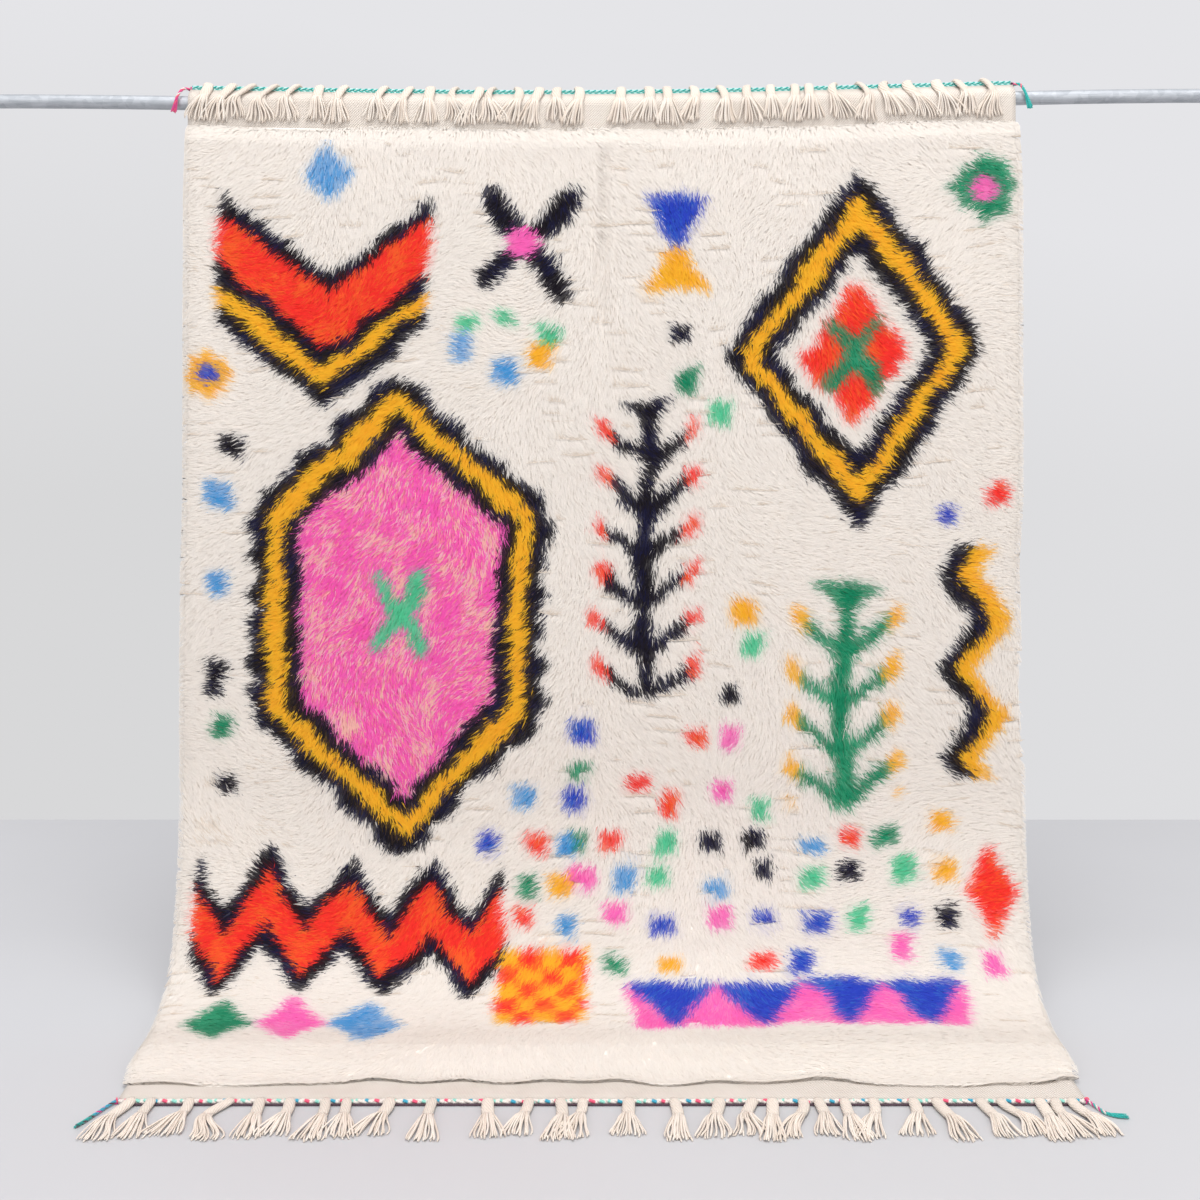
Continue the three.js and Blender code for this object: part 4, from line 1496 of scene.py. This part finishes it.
    def next_parting(self, x, along, down):
        """The next line ahead of each strand where rows of wool may part, and whether they do."""
        nearest, opens = np.where(down > 0, LENGTH, 0.0), np.zeros(len(x), bool)
        row = np.floor((along - PILE_TOP) / PARTING_STEP)
        for line in (row - 1, row, row + 1, row + 2):
            level = PILE_TOP + PARTING_STEP * line + 0.0055 * waves(x, 5.3 * line, 0.09, 61)
            ahead = (down * (level - along) > 0) & (down * (nearest - level) > 0)
            bare = DRAWN[on_grid(x, level)] == 0
            inside = (level > PARTINGS_FROM) & (level < PARTINGS_TO)
            parts = bare & inside & (waves(x, 7.1 * line, 0.045, 63) > 0.62)
            nearest, opens = np.where(ahead, level, nearest), np.where(ahead, parts, opens)
        return nearest, opens

    def strand_colours(self, pile, x, along, wander, draw):
        """Each strand's yarn, with the haze where yarns meet and the unevenness of the dye."""
        x = x + draw.normal(0, 0.0025, len(x))
        along = along + draw.normal(0, 0.0025, len(x))
        row, column = on_grid(x, along)
        yarn = DRAWN[row, column]
        shares = SHARES[row, column]
        table = yarn_table(pile)
        own_share = shares[np.arange(len(yarn)), yarn][:, None]
        others = np.clip(1 - own_share, 0, 1)
        around = (shares @ table - own_share * table[yarn]) / np.maximum(1 - own_share, 0.02)
        heather = np.clip(wander + draw.normal(0, 0.26, len(yarn)), 0, 0.999)
        colours = yarn_colours(pile, yarn, heather)

        second = np.array([YARNS.index(SECOND.get(name, name)) for name in YARNS])
        leaning = np.array([LEANING.get(name, 1.0) for name in YARNS])
        uneven = np.clip(0.42 * (wander + draw.normal(0, 0.22, len(yarn)) - 0.35), 0, 0.30)
        colours = mix(colours, table[second[yarn]], (uneven * leaning[yarn])[:, None])

        navy = YARNS.index("navy")
        near_navy = (yarn == navy) | (shares[:, navy] > 0.5 * (1 - own_share[:, 0]))
        reach = np.where(near_navy, self.NAVY_HAZE_REACH, self.HAZE_REACH)[:, None]
        colours = mix(colours, around, reach * others)
        return colours * draw.uniform(0.975, 1.015, len(yarn))[:, None]

    def map_strands(self, piece, count):
        """A small cell of the baking map for each strand."""
        corner, cell = cells(count)
        root, right, tip, left = (0.5, 0.1), (0.85, 0.5), (0.5, 0.9), (0.15, 0.5)
        outline = np.array([root, right, left, left, right, tip])
        add_map(piece, "OFBake", (corner[:, None] + outline * cell).reshape(-1, 2))

    def round_strands(self, piece, facing, across, lies, draw):
        """Shades each flat strand as a round one."""
        tilt = 0.05 * draw.normal(0, 1, (len(facing), 1)) * lies
        middle = unit(facing + tilt)
        left, right = unit(middle - 0.14 * across), unit(middle + 0.14 * across)
        normals = np.stack([middle, right, middle, left], 1).reshape(-1, 3)
        piece.data.normals_split_custom_set_from_vertices(normals)


class RUG_OT_cords(bpy.types.Operator):
    """The twined cords along the rug's two ends"""

    bl_idname = "rug.cords"
    bl_label = "Edge cords"

    TOP_STEPS, BOTTOM_STEPS = 7, 15  # points in a turn
    TOP_SHIFT = (0, -0.0018, 0.0020)  # how the top cord lies forward and up on the edge
    TOP_ROW_RISE = 0.0022  # from the middle to each of its two rows, which twist opposite ways

    def execute(self, context):
        edges = context.scene.rug_edges
        self.add_top(edges)
        self.add_bottom(edges)
        return {"FINISHED"}

    def add_top(self, edges):
        """Two fine twists, one above the other."""
        x = np.arange(-CORD_HALF, CORD_HALF, edges.top_turn / self.TOP_STEPS)
        middle = beyond_top(x, CORD_OUT) + np.array(self.TOP_SHIFT)
        fine = 0.27 * edges.strand
        rows = []
        for way in (-1, 1):
            row = middle + np.array([0, 0, way * self.TOP_ROW_RISE])
            rows.append(twisted(row, 1.05 * fine, -way * edges.top_turn, 2, (0, 0, 1)))
        colours = np.array([tuple(yarn) for yarn in (edges.teal, edges.aqua, edges.teal, edges.aqua)])
        self.add_cord("top_cord", np.concatenate(rows), fine, colours[:, None])

    def add_bottom(self, edges):
        """One thick twist of two pale strands, with coloured stitches that repeat every two turns."""
        thick = edges.strand / 2
        x = np.arange(-CORD_HALF, CORD_HALF, edges.bottom_turn / self.BOTTOM_STEPS)
        path = beyond_bottom(x, CORD_OUT, CORD_RADIUS)
        paths = twisted(path, CORD_RADIUS - thick, edges.bottom_turn, 2, (0, 0, 1))
        uneven = 0.16 * waves(x, 0.0, 0.09, 51)
        repeat = np.mod((x + CORD_HALF) / edges.bottom_turn + 0.25 + uneven, 2)
        grey = mix(np.array(edges.white), np.array(edges.purple), 0.35)
        stitches = (
            ((0.18, 0.42, edges.blue), (0.60, 0.72, grey), (1.24, 1.48, edges.mint)),
            ((0.72, 0.98, edges.rose), (1.10, 1.24, grey), (1.68, 1.79, edges.mint)),
        )
        colours = np.stack([self.stitched(repeat, edges.white, strand) for strand in stitches])
        self.add_cord("bottom_cord", paths, thick, colours)

    def add_cord(self, node, paths, thick, colours):
        material = yarn_material(node + "_yarn")
        piece = add_tubes(node + "_yarn", paths, thick, 6, colours, material, (0, 0, 1))
        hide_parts(node)
        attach(piece, "root")

    def stitched(self, repeat, plain, stitches):
        """A strand's colour along it, in turns of the cord."""
        colours = np.tile(tuple(plain), (len(repeat), 1))
        for low, high, yarn in stitches:
            colours[(repeat >= low) & (repeat < high)] = tuple(yarn)
        return colours


class RUG_OT_fringes(bpy.types.Operator):
    """Knotted warp ends, as felted stems that open into fans of threads"""

    bl_idname = "rug.fringes"
    bl_label = "Fringes"

    LINE_STEPS, STEM_STEPS, THREAD_STEPS, BAR_STEPS = 48, 14, 10, 60
    STEM_SIDES, THREAD_SIDES = 12, 4
    STEM_WAVE = 0.0042  # how far a stem bows to one side and back
    CURL = 0.0017  # how far a thread's end curls to one side

    def execute(self, context):
        fringe = context.scene.rug_fringe
        material = yarn_material("fringe_yarn")
        felted = stem_material()
        draw = np.random.default_rng(17)
        bar = np.linspace(-CORD_HALF + 0.004, CORD_HALF - 0.004, self.BAR_STEPS)
        # The top stems take more of the shade colour than the bottom ones (0.45 against 0.30): painted
        # shade against the top lamp's light on their upper sides.
        top = TasselRow(
            TOP_TASSELS, fringe.top_threads, 0.60, 0.45, *self.top_lines(self.LINE_STEPS),
            beyond_top(bar, BAR_OUT),
        )
        bottom = TasselRow(
            BOTTOM_TASSELS, fringe.bottom_threads, 0.54, 0.30, *self.bottom_lines(self.LINE_STEPS),
            beyond_bottom(bar, BAR_OUT, BAR_RADIUS),
        )
        for node, row in (("top_fringe", top), ("bottom_fringe", bottom)):
            self.add_row(node, row, felted, material, fringe, draw)
        return {"FINISHED"}

    def top_lines(self, steps):
        """Tassels that rise over the cord and fall in front of the tube: their middles and fronts."""
        at = np.array([tassel.at for tassel in TOP_TASSELS])
        cord = beyond_top(at, CORD_OUT)
        axis = np.stack([at, np.full_like(at, AXIS_Y), TUBE_HEIGHT + tube_lift(at)], -1)
        over_cord = CORD_RADIUS + FRINGE_LIFT + STEM_THICKNESS / 2
        over_band = BACK_RADIUS + GROUND + FRINGE_LIFT + STEM_THICKNESS / 2
        points, fronts = [], []
        for centre, radius, angle in (
            (cord, over_cord, 142), (cord, over_cord, 100), (cord, over_cord, 60),
            (axis, over_band, 44), (axis, over_band, 8),
        ):
            front = np.array([0, -cos(radians(angle)), sin(radians(angle))])
            points.append(centre + radius * front)
            fronts.append(np.tile(front, (len(at), 1)))
        stretch = 1 + TOP_UNEVENNESS * np.sin(2.4 * np.arange(len(at)))
        for fall in TOP_FALLS:
            points.append(points[4] - np.outer(fall * stretch, (0, 0, 1)))
            fronts.append(fronts[4])
        lines, fronts = (smooth_path(np.stack(places, 1), steps) for places in (points, fronts))
        return lines, unit(fronts)

    def bottom_lines(self, steps):
        """Tassels that pass over the cord and lie on the floor in front of it."""
        at = np.array([tassel.at for tassel in BOTTOM_TASSELS])
        reach = BOTTOM_REACH + BOTTOM_UNEVENNESS * np.sin(2.1 * np.arange(len(at)) + 1)
        start = beyond_bottom(at, GAP, 0.0)
        share = np.linspace(0, 1, steps)
        beyond = (BAR_OUT + reach[:, None]) * share
        lines = start[:, None] + np.array([0, -1, 0]) * beyond[..., None]
        lying = mix(0.75, 0.45, ramp(share, 0.40, 0.85)) * STEM_THICKNESS
        past_cord = ramp(beyond, 2 * CORD_RADIUS, 5 * CORD_RADIUS)
        lines[..., 2] = mix(1.35 * CORD_RADIUS, lying, past_cord)
        return lines, np.broadcast_to(np.array([0.0, 0.0, 1.0]), lines.shape)

    def add_row(self, node, row, felted, material, fringe, draw):
        """The tassels of one end, with the thread that runs along under them."""
        lean = np.array([tassel.lean for tassel in row.tassels])
        count = len(lean)
        share = run_lengths(row.lines)
        share = share / share[:, -1:]
        yarn, shade = np.array(fringe.yarn), np.array(fringe.shade)

        level = np.linspace(0, row.stem_end, self.STEM_STEPS)
        path, _ = self.at_share(row, share, level)
        wave = draw.normal(0, self.STEM_WAVE, count)
        path[..., 0] += self.sideways(lean, wave, level)
        at, widths, depths = np.array(STEM).T
        width = fringe.stem_width / 2 * np.interp(level, at * row.stem_end, widths)
        depth = STEM_THICKNESS / 2 * np.interp(level, at * row.stem_end, depths)
        size = draw.uniform(0.88, 1.1, (count, 1))
        tone = draw.uniform(0.94, 1.02, (count, 1, 1))
        colours = mix(yarn, shade, row.stem_shade) * tone
        stems = add_tubes(
            node + "_stems", path, width * size, self.STEM_SIDES, colours, felted, depths=depth * size
        )

        fans = self.thread_paths(row, share, lean, wave, fringe, draw)
        last = fans.shape[1] - 1
        swelling = np.interp(np.arange(last + 1), [0, 2.5, last], [0.35, 1.0, 0.95])
        halves = fringe.thread / 2 * draw.uniform(0.78, 1.15, (len(fans), 1)) * swelling
        halves[:, -1] *= 0.7
        fans[..., 2] = np.maximum(fans[..., 2], halves)
        tone = draw.uniform(0.05, 0.45, (len(fans), 1, 1))
        colours = mix(yarn, shade, tone)
        loose = add_tubes(node + "_threads", fans, halves, self.THREAD_SIDES, colours, material)

        # Under the bottom cord the bar is coloured dark purple-brown as a painted shadow line; at the
        # top it takes the fringe's shade colour.
        shadow_line = tuple(bpy.context.scene.rug_edges.purple)
        colour = shadow_line if node == "bottom_fringe" else shade
        edge = add_tubes(node + "_bar", row.bar[None], BAR_RADIUS, 6, colour, material, (0, 0, 1))
        for piece in (stems, loose, edge):
            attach(piece, "root")
            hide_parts(node)

    def sideways(self, lean, wave, level):
        """How far each tassel has strayed to the side at shares of its length."""
        early = np.abs(np.sin(37 * lean))[:, None]
        swept = mix(level**2, ramp(level, 0.02, 0.72), early)
        return lean[:, None] * swept + wave[:, None] * np.sin(1.6 * pi * level)

    def at_share(self, row, share, level):
        """The tassels' middles and fronts at shares of their length."""
        found = np.empty((2, len(share), len(level), 3))
        for tassel, axis in np.ndindex(len(share), 3):
            for places, values in zip(found, (row.lines, row.fronts)):
                places[tassel, :, axis] = np.interp(level, share[tassel], values[tassel, :, axis])
        return found[0], unit(found[1])

    def thread_paths(self, row, share, lean, wave, fringe, draw):
        """Threads that leave the stem side by side and spread into a fan, some curled or crossing."""
        count, threads, steps, stem_end = len(lean), row.threads, self.THREAD_STEPS, row.stem_end
        level = np.linspace(stem_end - 0.17, 1.0, steps)
        path, front = self.at_share(row, share, level)
        slot = (np.arange(threads) + 0.5) / threads - 0.5
        order = slot + draw.uniform(-0.05, 0.05, (count, threads))
        opened = np.clip((level - stem_end + 0.10) / (1.05 - stem_end), 0, 1) ** 0.9
        spread_out = fringe.fan_width * draw.uniform(0.74, 1.14, (count, 1))
        offset = mix(
            (0.90 * fringe.stem_width * order)[..., None],
            (spread_out * order + draw.normal(0, 0.0014, order.shape))[..., None],
            opened,
        )
        curled = np.sin(pi * np.clip((level - 0.6) / 0.4, 0, 1))
        curl = draw.normal(0, self.CURL, (count, threads, 1)) * curled
        offset = offset + curl + self.sideways(lean, wave, level)[:, None]
        layer = np.array([0.45, -0.35, 0.1])[np.arange(threads) % 3] * fringe.thread
        roundness = np.sqrt(np.maximum(1 - (2 * slot) ** 2, 0))
        round_stem = (0.72 * STEM_THICKNESS + 0.1 * fringe.thread) * roundness
        leaving = mix(0.5, 1.0, ramp(level, stem_end - 0.17, stem_end - 0.06))
        outside = round_stem[:, None] * (1 - opened) * leaving
        ends = 1.00 - 0.20 * slot[None, :, None] ** 2 - draw.uniform(0.0, 0.12, (count, threads, 1))
        reach = level[0] + (level - level[0]) * ends
        paths = np.empty((count, threads, steps, 3))
        for tassel, thread, axis in np.ndindex(count, threads, 3):
            middle = path[tassel, :, axis]
            paths[tassel, thread, :, axis] = np.interp(reach[tassel, thread], level, middle)
        paths[..., 0] += offset
        height = layer[:, None] * ramp(level, stem_end - 0.16, stem_end) + outside
        paths += height[None, :, :, None] * front[:, None]
        return paths.reshape(-1, steps, 3)


class RUG_OT_tube(bpy.types.Operator):
    """The galvanised steel tube, open at both ends"""

    bl_idname = "rug.tube"
    bl_label = "Steel tube"

    SIDES, BODY_RINGS = 48, 60
    CHAMFER = 0.0005
    HOLLOW = 0.05  # how far in from its ends the tube is open

    def execute(self, context):
        tube = context.scene.rug_tube
        x, radius = self.profile(tube).T
        sides = self.SIDES
        angle = 2 * pi * np.arange(sides) / sides
        ring = np.stack([np.zeros(sides), np.cos(angle), np.sin(angle)], -1)
        axis = np.stack([x, np.full_like(x, AXIS_Y), TUBE_HEIGHT + tube_lift(x)], -1)
        points = (axis[:, None] + radius[:, None, None] * ring).reshape(-1, 3)
        step, turn = np.indices((len(x) - 1, sides))
        after = (turn + 1) % sides
        low = step * sides
        high = low + sides
        quads = faces_of(low + turn, high + turn, high + after, low + after)
        caps = np.stack([np.arange(sides), len(points) - 1 - np.arange(sides)])
        piece = add_mesh("steel_tube", points, zinc_material(tube), quads, caps)
        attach(piece, "root")
        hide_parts("rod")
        return {"FINISHED"}

    def profile(self, tube):
        """Distances from the tube's middle and its axis, from inside one end to inside the other."""
        half, chamfer = TUBE_LENGTH / 2, self.CHAMFER
        inner = TUBE_RADIUS - tube.wall
        bottom = half - self.HOLLOW
        right = [
            (bottom, chamfer), (bottom + chamfer, inner), (half - chamfer, inner),
            (half, inner + chamfer), (half, TUBE_RADIUS - chamfer), (half - chamfer, TUBE_RADIUS),
        ]
        body = [(x, TUBE_RADIUS) for x in np.linspace(half - 0.02, -half + 0.02, self.BODY_RINGS)]
        left = [(-x, radius) for x, radius in reversed(right)]
        return np.array(right + body + left)


class RUG_OT_sheet(bpy.types.Operator):
    bl_idname = "rug.sheet"
    bl_label = "Declare the cloth"

    def execute(self, context):
        parts = ["pile_felt", *RUG_OT_pile.FIELDS, "top_cord_yarn", "bottom_cord_yarn"]
        for fringe in ("top_fringe", "bottom_fringe"):
            parts += [f"{fringe}_{part}" for part in ("stems", "threads", "bar")]
        return {"FINISHED"}


OPERATORS = (
    RUG_OT_stage, RUG_OT_tails, RUG_OT_ground, RUG_OT_pile, RUG_OT_cords, RUG_OT_fringes,
    RUG_OT_tube, RUG_OT_sheet,
)
GROUPS = {
    "rug_pile": RugPile, "rug_ground": RugGround, "rug_edges": RugEdges, "rug_fringe": RugFringe,
    "rug_tube": RugTube, "rug_stage": RugStage,
}


class RUG_PT_panel(bpy.types.Panel):
    """Sizes, colours and steps of the pile rug"""

    bl_label = "Pile Rug"
    bl_idname = "RUG_PT_panel"
    bl_space_type = "VIEW_3D"
    bl_region_type = "UI"
    bl_category = "Pile Rug"

    def draw(self, context):
        for operator in OPERATORS:
            self.layout.operator(operator.bl_idname)
        for name, group in GROUPS.items():
            box = self.layout.box()
            for field in group.__annotations__:
                box.prop(getattr(context.scene, name), field)


def register():
    for cls in (*GROUPS.values(), *OPERATORS, RUG_PT_panel):
        bpy.utils.register_class(cls)
    for name, group in GROUPS.items():
        setattr(bpy.types.Scene, name, PointerProperty(type=group))


def unregister():
    for name in GROUPS:
        delattr(bpy.types.Scene, name)
    for cls in reversed((*GROUPS.values(), *OPERATORS, RUG_PT_panel)):
        bpy.utils.unregister_class(cls)


def main():
    register()
    bpy.ops.rug.stage()
    bpy.ops.rug.tails()
    bpy.ops.rug.ground()
    bpy.ops.rug.pile()
    bpy.ops.rug.cords()
    bpy.ops.rug.fringes()
    bpy.ops.rug.tube()
    bpy.ops.rug.sheet()


if __name__ == "__main__":
    main()
